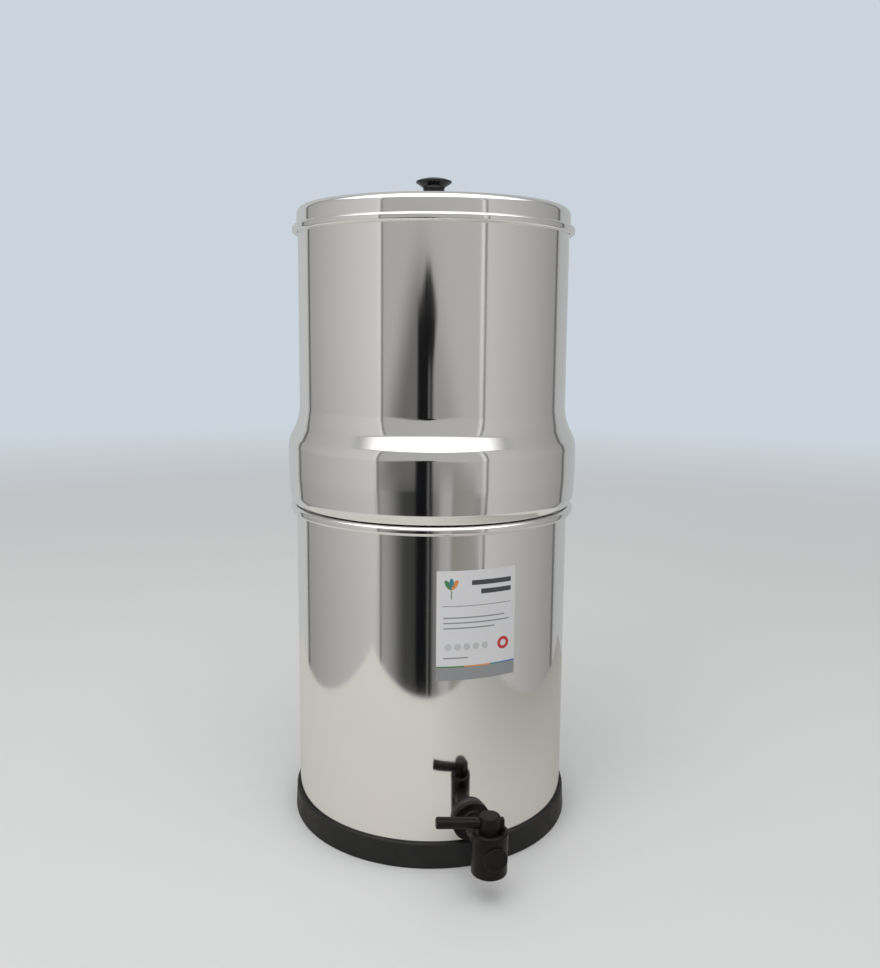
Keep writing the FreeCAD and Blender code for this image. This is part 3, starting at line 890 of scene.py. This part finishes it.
    def pointed(self, shape: Shape, angle: float) -> Shape:
        """Turn a shape that points along +X about the plug's axis, and move it to the tap.

        Args:
            shape: The shape, which is changed.
            angle: Where it points, in degrees.

        Returns:
            The same shape.
        """
        turn = Matrix.Translation(self.axis) @ Matrix.Rotation(math.radians(angle), 4, "Z")
        bmesh.ops.transform(shape, matrix=turn, verts=shape.verts[:])
        return shape

    def lever_line(self) -> tuple[Vector, Vector]:
        """Find the lever's ends, before it is turned.

        Returns:
            Its root and its tip.
        """
        root = Vector((self.cap_radius, 0, self.cap_top - self.lever_root_drop))
        tip = Vector((self.lever_reach, 0, self.cap_top - self.lever_tip_drop))
        return root, tip

    def build_plug(self) -> None:
        """Turn the plug with its grooves and cap, add its lug and cut its waterway."""
        outline = [Corner(0, self.plug_foot), Corner(self.plug_radius, self.plug_foot, self.plug_foot_edge)]
        for height in self.groove_heights:
            low = height - self.groove_width / 2
            high = height + self.groove_width / 2
            outline += [
                Corner(self.plug_radius, low),
                Corner(self.groove_floor, low),
                Corner(self.groove_floor, high),
                Corner(self.plug_radius, high),
            ]
        outline += [
            Corner(self.plug_radius, self.plug_shoulder, self.plug_shoulder_edge),
            Corner(self.cap_radius, self.plug_shoulder),
            Corner(self.cap_radius, self.cap_top, self.cap_edge),
            Corner(0, self.cap_top),
        ]
        lug_size = Vector((self.lug_reach, self.lug_width, self.lug_height))
        lug_middle = Vector((-self.lug_reach / 2, 0, self.lug_foot + self.lug_height / 2))
        shape = combined(LATHE.turned(outline), Cut.ONTO, [block(lug_size, lug_middle, self.lug_edge)])
        root, tip = self.lever_line()
        along = (tip - root).normalized()
        foot = Vector((0, 0, self.plug_foot - self.overrun))
        hollow = rod(self.plug_hollow, self.height + self.port_radius - foot.z, foot, UP)
        port_turn = Matrix.Rotation(math.radians(-self.rest_angle), 3, "Z")
        sideways = port_turn @ Vector((1, 0, 0))
        port = rod(self.port_radius, 2 * self.plug_radius, Vector((0, 0, self.height)), sideways)
        seat_start = root - along * self.spigot_depth
        seat = rod(self.spigot_radius + self.fit, self.spigot_depth * 2, seat_start, along)
        shape = combined(shape, Cut.AWAY, [hollow, port, seat])
        shape = self.pointed(shape, self.rest_angle)
        finished("plug_and_cap", shape, TAP_PLASTIC, Body.VALVE, ["valve_plug"])

    def build_lever(self) -> None:
        """Turn the lever, fit its root to the cap and lay it along its line."""
        root, tip = self.lever_line()
        length = (tip - root).length
        outline = [
            Corner(0, 0),
            Corner(self.lever_root_radius, 0),
            Corner(self.lever_tip_radius, length, self.lever_tip_edge),
            Corner(0, length),
        ]
        shaft = placed(LATHE.turned(outline), root, tip - root)
        socket = rod(self.cap_radius + self.fit, self.cap_top * 2, Vector(), UP)
        shaft = combined(shaft, Cut.AWAY, [socket])
        along = (tip - root).normalized()
        spigot = rod(self.spigot_radius, self.spigot_depth * 2, root - along * self.spigot_depth, along)
        shape = combined(shaft, Cut.ONTO, [spigot])
        shape = self.pointed(shape, self.rest_angle)
        finished("lever", shape, TAP_PLASTIC, Body.VALVE, ["tap_lever"])

    def build(self) -> None:
        """Build the tap and dress the pieces that clamp and seal it."""
        self.build_body()
        self.build_retainer()
        self.build_plug()
        self.build_lever()
        dressed("tap_outer_washer", SEAL_RUBBER)
        dressed("tap_inner_washer", SEAL_RUBBER)
        dressed("tap_lock_nut", TAP_PLASTIC)
        dressed("valve_seal_lower", SEAL_RUBBER)
        dressed("valve_seal_upper", SEAL_RUBBER)


@dataclass(frozen=True)
class LowerChamber:
    """Drawn steel vessel with a raised floor and an edge rolled outwards."""

    wall: float = 0.8
    inside: float = 106.7
    floor_top: float = 5.8
    corner: float = 5.6
    dish_radius: float = 89.5
    dish_slope: float = 4.0
    dish_rise: float = 1.6
    dish_fillet: float = 6.0
    seam: float = 253.0
    rim_width: float = 5.3
    rim_height: float = 6.5
    hole_radius: float = 8.3
    hole_margin: float = 12.0

    def build(self, tap: Tap) -> None:
        """Turn the vessel and cut the tap's hole.

        Args:
            tap: The tap whose shank passes through the wall.
        """
        outline = [
            Corner(0, self.floor_top + self.dish_rise),
            Corner(self.dish_radius - self.dish_slope, self.floor_top + self.dish_rise, self.dish_fillet),
            Corner(self.dish_radius, self.floor_top, self.dish_fillet),
            Corner(self.inside, self.floor_top, self.corner),
            Corner(self.inside, tap.height - self.hole_margin),
            Corner(self.inside, tap.height + self.hole_margin),
        ]
        outline += bead(self.inside, self.seam, 1, 1, self.rim_width, self.rim_height)
        vessel = FINE_LATHE.walled(outline, self.wall)
        start = Vector((0, -self.inside - self.rim_width, tap.height))
        hole = rod(self.hole_radius, self.inside / 2, start, TO_CHAMBER)
        vessel = combined(vessel, Cut.AWAY, [hole])
        finished("lower_vessel", vessel, STEEL, Body.LOWER, ["lower_chamber"])


@dataclass(frozen=True)
class UpperChamber:
    """Drawn steel vessel: a skirt inside the lower one, a bulge over the seam and a straight neck."""

    wall: float = 0.8
    floor: float = 236.5
    skirt: float = 106.2
    skirt_corner: float = 5.4
    seat: float = 253.3
    seat_fold: float = 1.2
    seat_radius: float = 107.6
    seat_corner: float = 0.8
    groove_radius: float = 109.9
    groove_height: float = 254.5
    turn_in: float = 112.5
    turn_in_height: float = 260.0
    turn_in_fillet: float = 9.0
    bulge: float = 113.4
    waist: float = 276.0
    waist_fillet: float = 110.0
    shoulder: float = 302.5
    shoulder_fillet: float = 18.0
    neck: float = 104.5
    neck_start: float = 321.0
    neck_fillet: float = 34.0
    rim: float = 477.7
    rim_width: float = 5.0
    rim_height: float = 5.2
    stem_hole: float = 6.3
    stem_spacing: float = 96.0

    def build(self) -> None:
        """Turn the vessel and drill its floor for the candles."""
        outline = [
            Corner(0, self.floor),
            Corner(self.skirt, self.floor, self.skirt_corner),
            Corner(self.skirt, self.seat, self.seat_fold),
            Corner(self.seat_radius, self.seat, self.seat_corner),
            Corner(self.groove_radius, self.groove_height, self.seat_corner),
            Corner(self.turn_in, self.turn_in_height, self.turn_in_fillet),
            Corner(self.bulge, self.waist, self.waist_fillet),
            Corner(self.bulge, self.shoulder, self.shoulder_fillet),
            Corner(self.neck, self.neck_start, self.neck_fillet),
        ]
        outline += bead(self.neck, self.rim, -1, 1, self.rim_width, self.rim_height)
        vessel = FINE_LATHE.walled(outline, self.wall)
        holes = []
        for side in (-1, 1):
            start = Vector((side * self.stem_spacing / 2, 0, self.floor - self.wall))
            holes.append(rod(self.stem_hole, 3 * self.wall, start, UP))
        vessel = combined(vessel, Cut.AWAY, holes)
        finished("upper_vessel", vessel, STEEL, Body.UPPER, ["upper_chamber"])


@dataclass(frozen=True)
class Candles:
    """The two ceramic candles and what fastens them."""

    sides: tuple[str, str] = ("left", "right")

    def build(self) -> None:
        """Dress the candles' pieces."""
        for side in self.sides:
            dressed(f"candle_ceramic_{side}", FIRED_CERAMIC)
            dressed(f"candle_core_{side}", PRESSED_CARBON)
            dressed(f"candle_base_{side}", WHITE_PLASTIC)
            dressed(f"candle_washer_{side}", SEAL_RUBBER)
            dressed(f"candle_nut_{side}", WHITE_PLASTIC)


@dataclass(frozen=True)
class Lid:
    """Pressed steel lid: an edge rolled outwards, a skirt, a round shoulder and a low stepped dome."""

    roof: float
    wall: float = 0.7
    inside: float = 105.3
    skirt_height: float = 20.0
    shoulder: float = 5.8
    edge_width: float = 2.8
    edge_height: float = 4.6
    dome_inset: float = 9.0
    dome_rise: float = 3.0
    dome_fillet: float = 60.0
    step_radius: float = 33.0
    step_width: float = 2.2
    step_rise: float = 1.4
    step_fillet: float = 1.6
    screw_hole: float = 2.3

    @classmethod
    def on_frame(cls) -> "Lid":
        """The lid at the height of the model's lid, whose highest part is its raised middle."""
        raised_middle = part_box("lid")[1].z / MM
        return cls(roof=raised_middle - cls.dome_rise - cls.step_rise)

    @property
    def knob_seat(self) -> float:
        """Height of the raised middle."""
        return self.roof + self.dome_rise + self.step_rise

    def build(self) -> None:
        """Turn the lid."""
        under = self.roof - self.wall
        edge = bead(self.inside, self.roof - self.skirt_height, 1, -1, self.edge_width, self.edge_height)
        outline = edge[::-1] + [
            Corner(self.inside, under, self.shoulder),
            Corner(self.inside + self.wall / 2 - self.dome_inset, under, self.dome_fillet),
            Corner(self.step_radius + self.step_width, under + self.dome_rise, self.step_fillet),
            Corner(self.step_radius, self.knob_seat - self.wall, self.step_fillet),
            Corner(self.screw_hole, self.knob_seat - self.wall),
        ]
        cover = FINE_LATHE.walled(outline, self.wall)
        finished("lid_cover", cover, STEEL, Body.LID, ["lid"])
        dressed("lid_washer", SCREW_STEEL)
        dressed("lid_screw", SCREW_STEEL)


@dataclass(frozen=True)
class Knob:
    """Mushroom knob with a narrow neck, a sharp rim and a stepped top."""

    height: float = 18.6
    foot_radius: float = 9.6
    foot_height: float = 1.8
    neck_radius: float = 8.2
    neck_fillet: float = 2.6
    undercut: float = 7.0
    rim_radius: float = 13.8
    rim_drop: float = 3.4
    rim_thickness: float = 1.2
    step_radius: float = 10.4
    step_drop: float = 0.8
    step_edge: float = 1.0
    top_radius: float = 6.8
    edge: float = 0.45
    bore_radius: float = 2.05
    bore_depth: float = 13.0

    def build(self, lid: Lid) -> None:
        """Turn the knob.

        Args:
            lid: The lid that it stands on.
        """
        rim = self.height - self.rim_drop
        outline = [
            Corner(0, self.bore_depth),
            Corner(self.bore_radius, self.bore_depth),
            Corner(self.bore_radius, 0),
            Corner(self.foot_radius, 0, self.edge),
            Corner(self.foot_radius, self.foot_height, self.edge),
            Corner(self.neck_radius, self.foot_height, self.edge / 2),
            Corner(self.neck_radius, self.height - self.undercut, self.neck_fillet),
            Corner(self.rim_radius, rim, self.edge),
            Corner(self.rim_radius, rim + self.rim_thickness, self.edge),
            Corner(self.step_radius, self.height - self.step_drop, self.step_edge),
            Corner(self.top_radius, self.height, self.edge),
            Corner(0, self.height),
        ]
        knob = placed(KNOB_LATHE.turned(outline), Vector((0, 0, lid.knob_seat)), UP)
        finished("knob", knob, KNOB_PLASTIC, Body.LID, ["lid_knob"])


@dataclass(frozen=True)
class Spot:
    """A flat shape on the label: its middle, its size, its turn and its ink."""

    x: float
    y: float
    width: float
    height: float
    ink: Printed
    round: bool = False
    turn: float = 0.0


PAPER = Printed("label paper", (0.66, 0.66, 0.67))
DARK_INK = Printed("dark ink", (0.055, 0.058, 0.062))
GREY_INK = Printed("grey ink", (0.27, 0.275, 0.28))
PALE_INK = Printed("pale ink", (0.50, 0.505, 0.51))
GREEN_INK = Printed("green ink", (0.06, 0.22, 0.09))
ORANGE_INK = Printed("orange ink", (0.66, 0.25, 0.06))
TEAL_INK = Printed("teal ink", (0.03, 0.22, 0.27))
BLUE_INK = Printed("blue ink", (0.07, 0.15, 0.42))
RED_INK = Printed("red ink", (0.53, 0.035, 0.04))


@dataclass(frozen=True)
class Label:
    """Paper label stuck round the front of the lower chamber, printed with plain bars and a leaf sprig."""

    wall_radius: float = 107.5
    middle_angle: float = 2.2
    bottom: float = 141.5
    width: float = 60.2
    height: float = 79.8
    paper: float = 0.12
    ink: float = 0.025
    glue: float = 0.03
    dot_sides: int = 28
    margin: float = 4.0
    dots_height: float = 24.4
    seal_inset: float = 10.0
    band_height: float = 9.5
    stripe_height: float = 1.0
    slice_width: float = 2.0

    def flat(self, spot: Spot, thickness: float) -> Shape:
        """Make one flat shape with its thickness, face up.

        Args:
            spot: The shape.
            thickness: How thick it is.

        Returns:
            The shape in label coordinates: x to the right, y up, z off the paper.
        """
        shape = bmesh.new()
        if spot.round:
            bmesh.ops.create_circle(shape, cap_ends=True, segments=self.dot_sides, radius=0.5)
        else:
            bmesh.ops.create_grid(shape, x_segments=1, y_segments=1, size=0.5)
        bmesh.ops.scale(shape, vec=(spot.width, spot.height, 1), verts=shape.verts[:])
        turn = Matrix.Rotation(math.radians(spot.turn), 4, "Z")
        place = Matrix.Translation((spot.x, spot.y, 0))
        bmesh.ops.transform(shape, matrix=place @ turn, verts=shape.verts[:])
        grown = bmesh.ops.extrude_face_region(shape, geom=shape.faces[:])["geom"]
        tops = [item for item in grown if isinstance(item, bmesh.types.BMVert)]
        bmesh.ops.translate(shape, vec=(0, 0, thickness), verts=tops)
        bmesh.ops.recalc_face_normals(shape, faces=shape.faces[:])
        return shape

    def bent(self, shape: Shape, lift: float) -> None:
        """Slice a flat shape and bend it round the chamber.

        Args:
            shape: The shape, which is changed.
            lift: How far its underside stands off the steel.
        """
        slices = math.ceil(self.width / self.slice_width)
        for index in range(1, slices):
            x = self.width * (index / slices - 0.5)
            parts = shape.verts[:] + shape.edges[:] + shape.faces[:]
            bmesh.ops.bisect_plane(shape, geom=parts, dist=TOUCHING, plane_co=(x, 0, 0), plane_no=(1, 0, 0))
        for vert in shape.verts:
            angle = math.radians(self.middle_angle) + vert.co.x / self.wall_radius
            radius = self.wall_radius + lift + vert.co.z
            vert.co = (radius * math.sin(angle), -radius * math.cos(angle), self.bottom + vert.co.y)

    def spots(self) -> list[Spot]:
        """Lay out everything that is printed on the label.

        Returns:
            The shapes, in label coordinates: x from the middle and y from the bottom.
        """
        left = -self.width / 2
        right = self.width / 2
        band_top = self.band_height
        printed = [Spot(0, band_top / 2, self.width, band_top, GREY_INK)]
        inks = [GREEN_INK, GREEN_INK, ORANGE_INK, ORANGE_INK, TEAL_INK, BLUE_INK]
        share = self.width / len(inks)
        for index, ink in enumerate(inks):
            x = left + share * (index + 0.5)
            printed.append(Spot(x, band_top + self.stripe_height / 2, share, self.stripe_height, ink))
        sprig = Vector((left + 10.5, self.height - 14.0))
        leaf_middle = Vector((0, 4.6))
        leaf_turns = {32.0: GREEN_INK, 0.0: TEAL_INK, -32.0: ORANGE_INK}
        for turn, ink in leaf_turns.items():
            leaf = sprig + Matrix.Rotation(math.radians(turn), 2) @ leaf_middle
            printed.append(Spot(leaf.x, leaf.y, width=3.4, height=8.0, ink=ink, round=True, turn=turn))
        printed.append(Spot(sprig.x, sprig.y - 3.2, width=0.7, height=6.4, ink=GREEN_INK))
        title_top, title_pitch, title_lengths = self.height - 9, 6.6, (31.0, 24.0)
        for row, length in enumerate(title_lengths):
            x = right - self.margin - length / 2
            printed.append(Spot(x, title_top - row * title_pitch, length, height=3.5, ink=DARK_INK))
        rule_width = self.width - 2 * self.margin
        printed.append(Spot(0, self.height - 25.5, rule_width, height=0.55, ink=GREY_INK))
        text_left, text_top, text_pitch, text_lengths = left + 5, self.height - 34, 3.8, (46.0, 50.0, 38.0)
        for row, length in enumerate(text_lengths):
            x = text_left + length / 2
            printed.append(Spot(x, text_top - row * text_pitch, length, height=1.0, ink=GREY_INK))
        dots, dots_left, dots_pitch = 5, left + 8.4, 6.8
        for column in range(dots):
            x = dots_left + column * dots_pitch
            printed.append(Spot(x, self.dots_height, width=5.0, height=5.0, ink=PALE_INK, round=True))
        seal = right - self.seal_inset
        for size, ink in ((9.4, RED_INK), (4.6, PAPER)):
            printed.append(Spot(seal, self.dots_height, size, size, ink, round=True))
        printed.append(Spot(left + 14, y=16.4, width=18.0, height=1.0, ink=GREY_INK))
        return printed

    def build(self) -> None:
        """Stick the paper on the steel and print it, one piece for each ink."""
        sheet = self.flat(Spot(0, self.height / 2, self.width, self.height, PAPER), self.paper)
        self.bent(sheet, self.glue)
        finished("label", sheet, PAPER, Body.LOWER)
        by_ink: dict[str, list[Spot]] = {}
        inks: dict[str, Printed] = {}
        for spot in self.spots():
            by_ink.setdefault(spot.ink.name, []).append(spot)
            inks[spot.ink.name] = spot.ink
        for name, spots in by_ink.items():
            layer = bmesh.new()
            for spot in spots:
                part = self.flat(spot, self.ink * (2 if spot.ink is PAPER else 1))
                self.bent(part, self.glue + self.paper)
                mesh = bpy.data.meshes.new("spot")
                part.to_mesh(mesh)
                part.free()
                layer.from_mesh(mesh)
                bpy.data.meshes.remove(mesh)
            finished("label_" + name.replace(" ", "_"), layer, inks[name], Body.LOWER)


@dataclass(frozen=True)
class Card:
    """A large soft card of the studio, seen only in the steel.

    Azimuths are in degrees about the filter from the direction of the camera, to the right of the picture.
    Heights are in degrees above the horizon.
    """

    azimuth: float
    half_width: float
    low: float
    high: float
    left_level: float
    right_level: float
    softness: float = 1.0
    end_softness: float = 1.5
    spread: float = 0.0
    foot_share: float = 1.0
    tint: Colour = (1.0, 0.992, 0.972)


@dataclass(frozen=True)
class Studio:
    """Pale floor, soft light, the cards round the filter and the camera."""

    camera_azimuth: float = -15.9
    camera_distance: float = 0.736355
    camera_height: float = 0.388194
    camera_pitch: float = 7.85
    camera_roll: float = -0.40
    focal_pixels: float = 925.9
    image_width: float = 880.0
    image_height: float = 968.0
    centre_x: float = 431.99
    centre_y: float = 457.46
    sensor: float = 36.0
    floor_radius: float = 4.0
    floor_colour: Colour = (0.74, 0.745, 0.75)
    table_colour: Colour = (0.66, 0.635, 0.60)
    # Share of the table's colour left at its right edge: painted shade, seen only in the steel.
    table_painted_shade_share: float = 0.62
    table_half: float = 0.38
    table_forward: float = 0.04
    table_azimuth: float = -2.5
    backdrop_colour: Colour = (0.60, 0.66, 0.72)
    fill: float = 0.62
    room_level: float = 0.37
    foot_height: float = -18.0
    floor_sides: int = 96
    floor_clouds: float = 1.7
    floor_mottle: float = 0.97
    fade_start: float = 0.9
    fade_end: float = 3.2
    lamp_aim: Vector = Vector((0, 0, 0.2))
    nearest_seen: float = 0.01

    def cards(self) -> list[Card]:
        """List the cards. Each one hides what is listed before it.

        In a row stand the azimuth, the half width, the lower and the upper end, the left and the right
        level, and then softness, softness of the ends, spread and share of light at the foot.

        Returns:
            The cards.
        """
        low = -80.0
        return [
            Card(180, 50, low, 90, 0.44, 0.54, 4, tint=(0.97, 0.99, 1.0)),  # back wall
            Card(0, 43, low, 33, 0.40, 0.45, foot_share=0.85),  # front wall
            Card(-8, 6, low, 4.5, 0.15, 0.32, 11, 3.5, 2.1, 0.75, (1.0, 0.97, 0.94)),  # soft shade
            Card(-24, 22, low, -9, 0.30, 0.24, 1.5, 3.0),  # low shade on the left
            Card(-15, 15, low, -9, 0.06, 0.02, 9.0, 3.0),  # its darkest part
            Card(24, 10, low, -9, 0.24, 0.30, 4, 2.0, tint=(1.0, 0.95, 0.90)),  # low brown shade on the right
            Card(11, 4.5, low, -9, 0.34, 0.40, 2.0, 2.0),  # light gap between them
            Card(-6.0, 6.4, low, 1.8, 0.006, 0.006, 1.2, 1.0, tint=(0.9, 0.95, 1.1)),  # black post
            Card(-2.6, 0.8, low, -1.6, 0.12, 0.12, 0.5, 1.2),  # thin glint on it
            Card(-3.8, 1.6, 1.2, 4.0, 0.006, 0.008, 1.2, 0.5, 2.1, tint=(0.9, 0.95, 1.1)),  # its tip
            Card(-4.2, 7.6, -1.8, 1.2, 0.006, 0.008, 1.2, 0.3, -0.9, tint=(0.9, 0.95, 1.1)),  # its head
            Card(-85, 42, low, 33, 0.34, 0.62, foot_share=0.84),  # left wall
            Card(84, 41, low, 33, 0.54, 0.29, foot_share=0.95),  # right wall
            Card(-44.2, 1.0, low, 32, 0.70, 0.70, 0.6, foot_share=0.6),  # bright edge on the left
            Card(-41.8, 0.7, low, 32, 0.14, 0.14, 0.5),  # dark line beside it
            Card(40.5, 1.3, low, 32, 0.70, 0.70, 0.7, foot_share=0.6),  # bright edge on the right
            Card(43.2, 0.8, low, 32, 0.18, 0.18, 0.5),  # dark line beside it
            Card(-127, 1.6, low, 33, 0.10, 0.10, 0.8),  # dark seam at the back left
            Card(125, 1.8, low, 33, 0.12, 0.12, 0.8),  # dark seam at the back right
            Card(0, 180, -90, -27, 0.60, 0.60, end_softness=2.5, tint=(1.0, 0.97, 0.93)),  # room's floor
            Card(0, 95, 37.5, 90, 2.1, 2.1, 25, 4.0),  # overhead softbox
        ]

    def build_world(self) -> None:
        """Light the room evenly and hang the cards in the mirror of the steel."""
        world = bpy.data.worlds.new("studio")
        bpy.context.scene.world = world
        world.use_nodes = True
        shader = Shader(world.node_tree)
        place = shader.add("TexCoord").outputs["Generated"]
        turn = (0.0, 0.0, math.radians(-self.camera_azimuth))
        faced = shader.add("Mapping", {"Vector": place, "Rotation": turn}, vector_type="NORMAL").outputs[0]
        axes = shader.add("SeparateXYZ", {0: faced}).outputs
        azimuth = shader.math("ARCTAN2", axes[0], shader.math("MULTIPLY", axes[1], -1.0))
        height = shader.math("MULTIPLY", shader.math("ARCSINE", axes[2]), math.degrees(1.0))
        colour = (self.room_level,) * 3
        for card in self.cards():
            colour = self.hung(shader, card, azimuth, height, colour)
        rays = shader.add("LightPath").outputs
        plain = shader.mix(rays["Is Camera Ray"], (self.fill,) * 3, self.backdrop_colour)
        shown = shader.mix(rays["Is Glossy Ray"], plain, colour)
        light = shader.add("Background", {"Color": shown, "Strength": 1.0})
        shader.add("OutputWorld", {"Surface": light.outputs[0]})
        LOG.info("studio: %d cards", len(self.cards()))

    def hung(self, shader: Shader, card: Card, azimuth: Socket, height: Socket, behind: object) -> Socket:
        """Put one card in front of what is behind it.

        Args:
            shader: Where the nodes go.
            card: The card.
            azimuth: The ray's azimuth in radians.
            height: The ray's elevation in degrees.
            behind: The colour behind the card.

        Returns:
            The new colour.
        """
        aside = shader.math("SUBTRACT", azimuth, math.radians(card.azimuth))
        wrapped = shader.math("ARCTAN2", shader.math("SINE", aside), shader.math("COSINE", aside))
        aside = shader.math("MULTIPLY", wrapped, math.degrees(1.0))
        below_top = shader.math("SUBTRACT", card.high, height)
        half = shader.math("MULTIPLY_ADD", below_top, card.spread, card.half_width)
        outer = shader.math("ADD", half, card.softness)
        inner = shader.math("SUBTRACT", half, card.softness)
        sides = shader.ramp(shader.math("ABSOLUTE", aside), outer, inner)
        foot = shader.ramp(height, card.low - card.end_softness, card.low + card.end_softness)
        top = shader.ramp(height, card.high + card.end_softness, card.high - card.end_softness)
        mask = shader.math("MULTIPLY", shader.math("MULTIPLY", sides, foot), top)
        level = shader.between(aside, -card.half_width, card.half_width, card.left_level, card.right_level)
        share = shader.between(height, self.foot_height, 0.0, card.foot_share, 1.0)
        lit = shader.dimmed(card.tint, shader.math("MULTIPLY", level, share))
        return shader.mix(mask, behind, lit)

    def build_floor(self) -> None:
        """Lay a pale floor that fades into the backdrop; in the steel it shows a table square with painted
        shade towards the right.
        """
        shape = bmesh.new()
        bmesh.ops.create_circle(shape, cap_ends=True, segments=self.floor_sides, radius=self.floor_radius)
        mesh = mesh_of("floor", shape)
        made, shader = blank_material("pale floor")
        place = shader.add("TexCoord").outputs["Object"]
        away = shader.add("VectorMath", {0: place}, operation="LENGTH").outputs["Value"]
        clouds = shader.noise(even(self.floor_clouds))
        turn = (0.0, 0.0, math.radians(-self.camera_azimuth - self.table_azimuth))
        faced = shader.add("Mapping", {"Vector": place, "Rotation": turn}).outputs[0]
        axes = shader.add("SeparateXYZ", {0: faced}).outputs
        forward = shader.math("ADD", axes[1], self.table_forward)
        aside = shader.math("MAXIMUM", shader.math("ABSOLUTE", axes[0]), shader.math("ABSOLUTE", forward))
        mirrored = shader.add("LightPath").outputs["Is Glossy Ray"]
        off_table = shader.math("MULTIPLY", mirrored, shader.math("GREATER_THAN", aside, self.table_half))
        seen = shader.mix(clouds, self.floor_colour, dulled(self.floor_colour, self.floor_mottle))
        # Painted shade: the table's colour darkens towards the right of the picture.
        share = shader.between(axes[0], 0.0, self.table_half, 1.0, self.table_painted_shade_share)
        painted_shade_table = shader.dimmed(self.table_colour, share)
        matt = shader.add("BsdfDiffuse", {"Color": shader.mix(mirrored, seen, painted_shade_table)})
        gone = shader.math("MAXIMUM", shader.ramp(away, self.fade_start, self.fade_end), off_table)
        clear = shader.add("BsdfTransparent")
        surface = shader.add("MixShader", {0: gone, 1: matt.outputs[0], 2: clear.outputs[0]})
        shader.add("OutputMaterial", {"Surface": surface.outputs[0]})
        mesh.materials.append(made)
        shown("floor", mesh)

    def build_lamp(self, name: str, place: Vector, size: float, power: float) -> None:
        """Hang a square softbox that points at the filter.

        Args:
            name: The lamp's name.
            place: Where it hangs.
            size: The length of its side.
            power: Its power in watts.
        """
        data = bpy.data.lights.new(name, "AREA")
        data.size = size
        data.energy = power
        lamp = shown(name, data)
        lamp.location = place
        lamp.rotation_euler = (self.lamp_aim - place).to_track_quat("-Z", "Y").to_euler()
        lamp.visible_camera = False
        lamp.visible_glossy = False

    def build_camera(self) -> None:
        """Set the camera where the photograph was taken from."""
        azimuth = math.radians(self.camera_azimuth)
        pitch = math.radians(self.camera_pitch)
        towards = Vector((-math.sin(azimuth), math.cos(azimuth), 0))
        right = Vector((math.cos(azimuth), math.sin(azimuth), 0))
        forward = towards * math.cos(pitch) - Vector((0, 0, math.sin(pitch)))
        up = right.cross(forward)
        level = Matrix((right, up, -forward)).transposed()
        roll = Matrix.Rotation(math.radians(self.camera_roll), 3, forward)
        place = towards * -self.camera_distance + Vector((0, 0, self.camera_height))
        data = bpy.data.cameras.new("camera")
        longest = max(self.image_width, self.image_height)
        data.sensor_width = self.sensor
        data.lens = self.focal_pixels / longest * self.sensor
        data.shift_x = (self.image_width / 2 - self.centre_x) / longest
        data.shift_y = (self.centre_y - self.image_height / 2) / longest
        data.clip_start = self.nearest_seen
        camera = shown("camera", data)
        camera.matrix_world = Matrix.Translation(place) @ (roll @ level).to_4x4()
        bpy.context.scene.camera = camera

    def build(self) -> None:
        """Build the studio."""
        self.build_camera()
        self.build_world()
        self.build_floor()
        self.build_lamp("overhead softbox", Vector((-0.2, -0.5, 1.7)), size=1.3, power=9.0)
        self.build_lamp("left softbox", Vector((-1.6, -1.1, 0.9)), size=1.2, power=8.0)
        bpy.context.scene.view_settings.view_transform = "Standard"


def main() -> None:
    """Build the studio and the filter, from the foot up."""
    logging.basicConfig(level=logging.INFO, format="%(message)s")
    Studio().build()
    tap = Tap()
    lid = Lid.on_frame()
    BaseRing().build()
    LowerChamber().build(tap)
    Label().build()
    tap.build()
    UpperChamber().build()
    Candles().build()
    lid.build()
    Knob().build(lid)


if __name__ == "__main__":
    main()
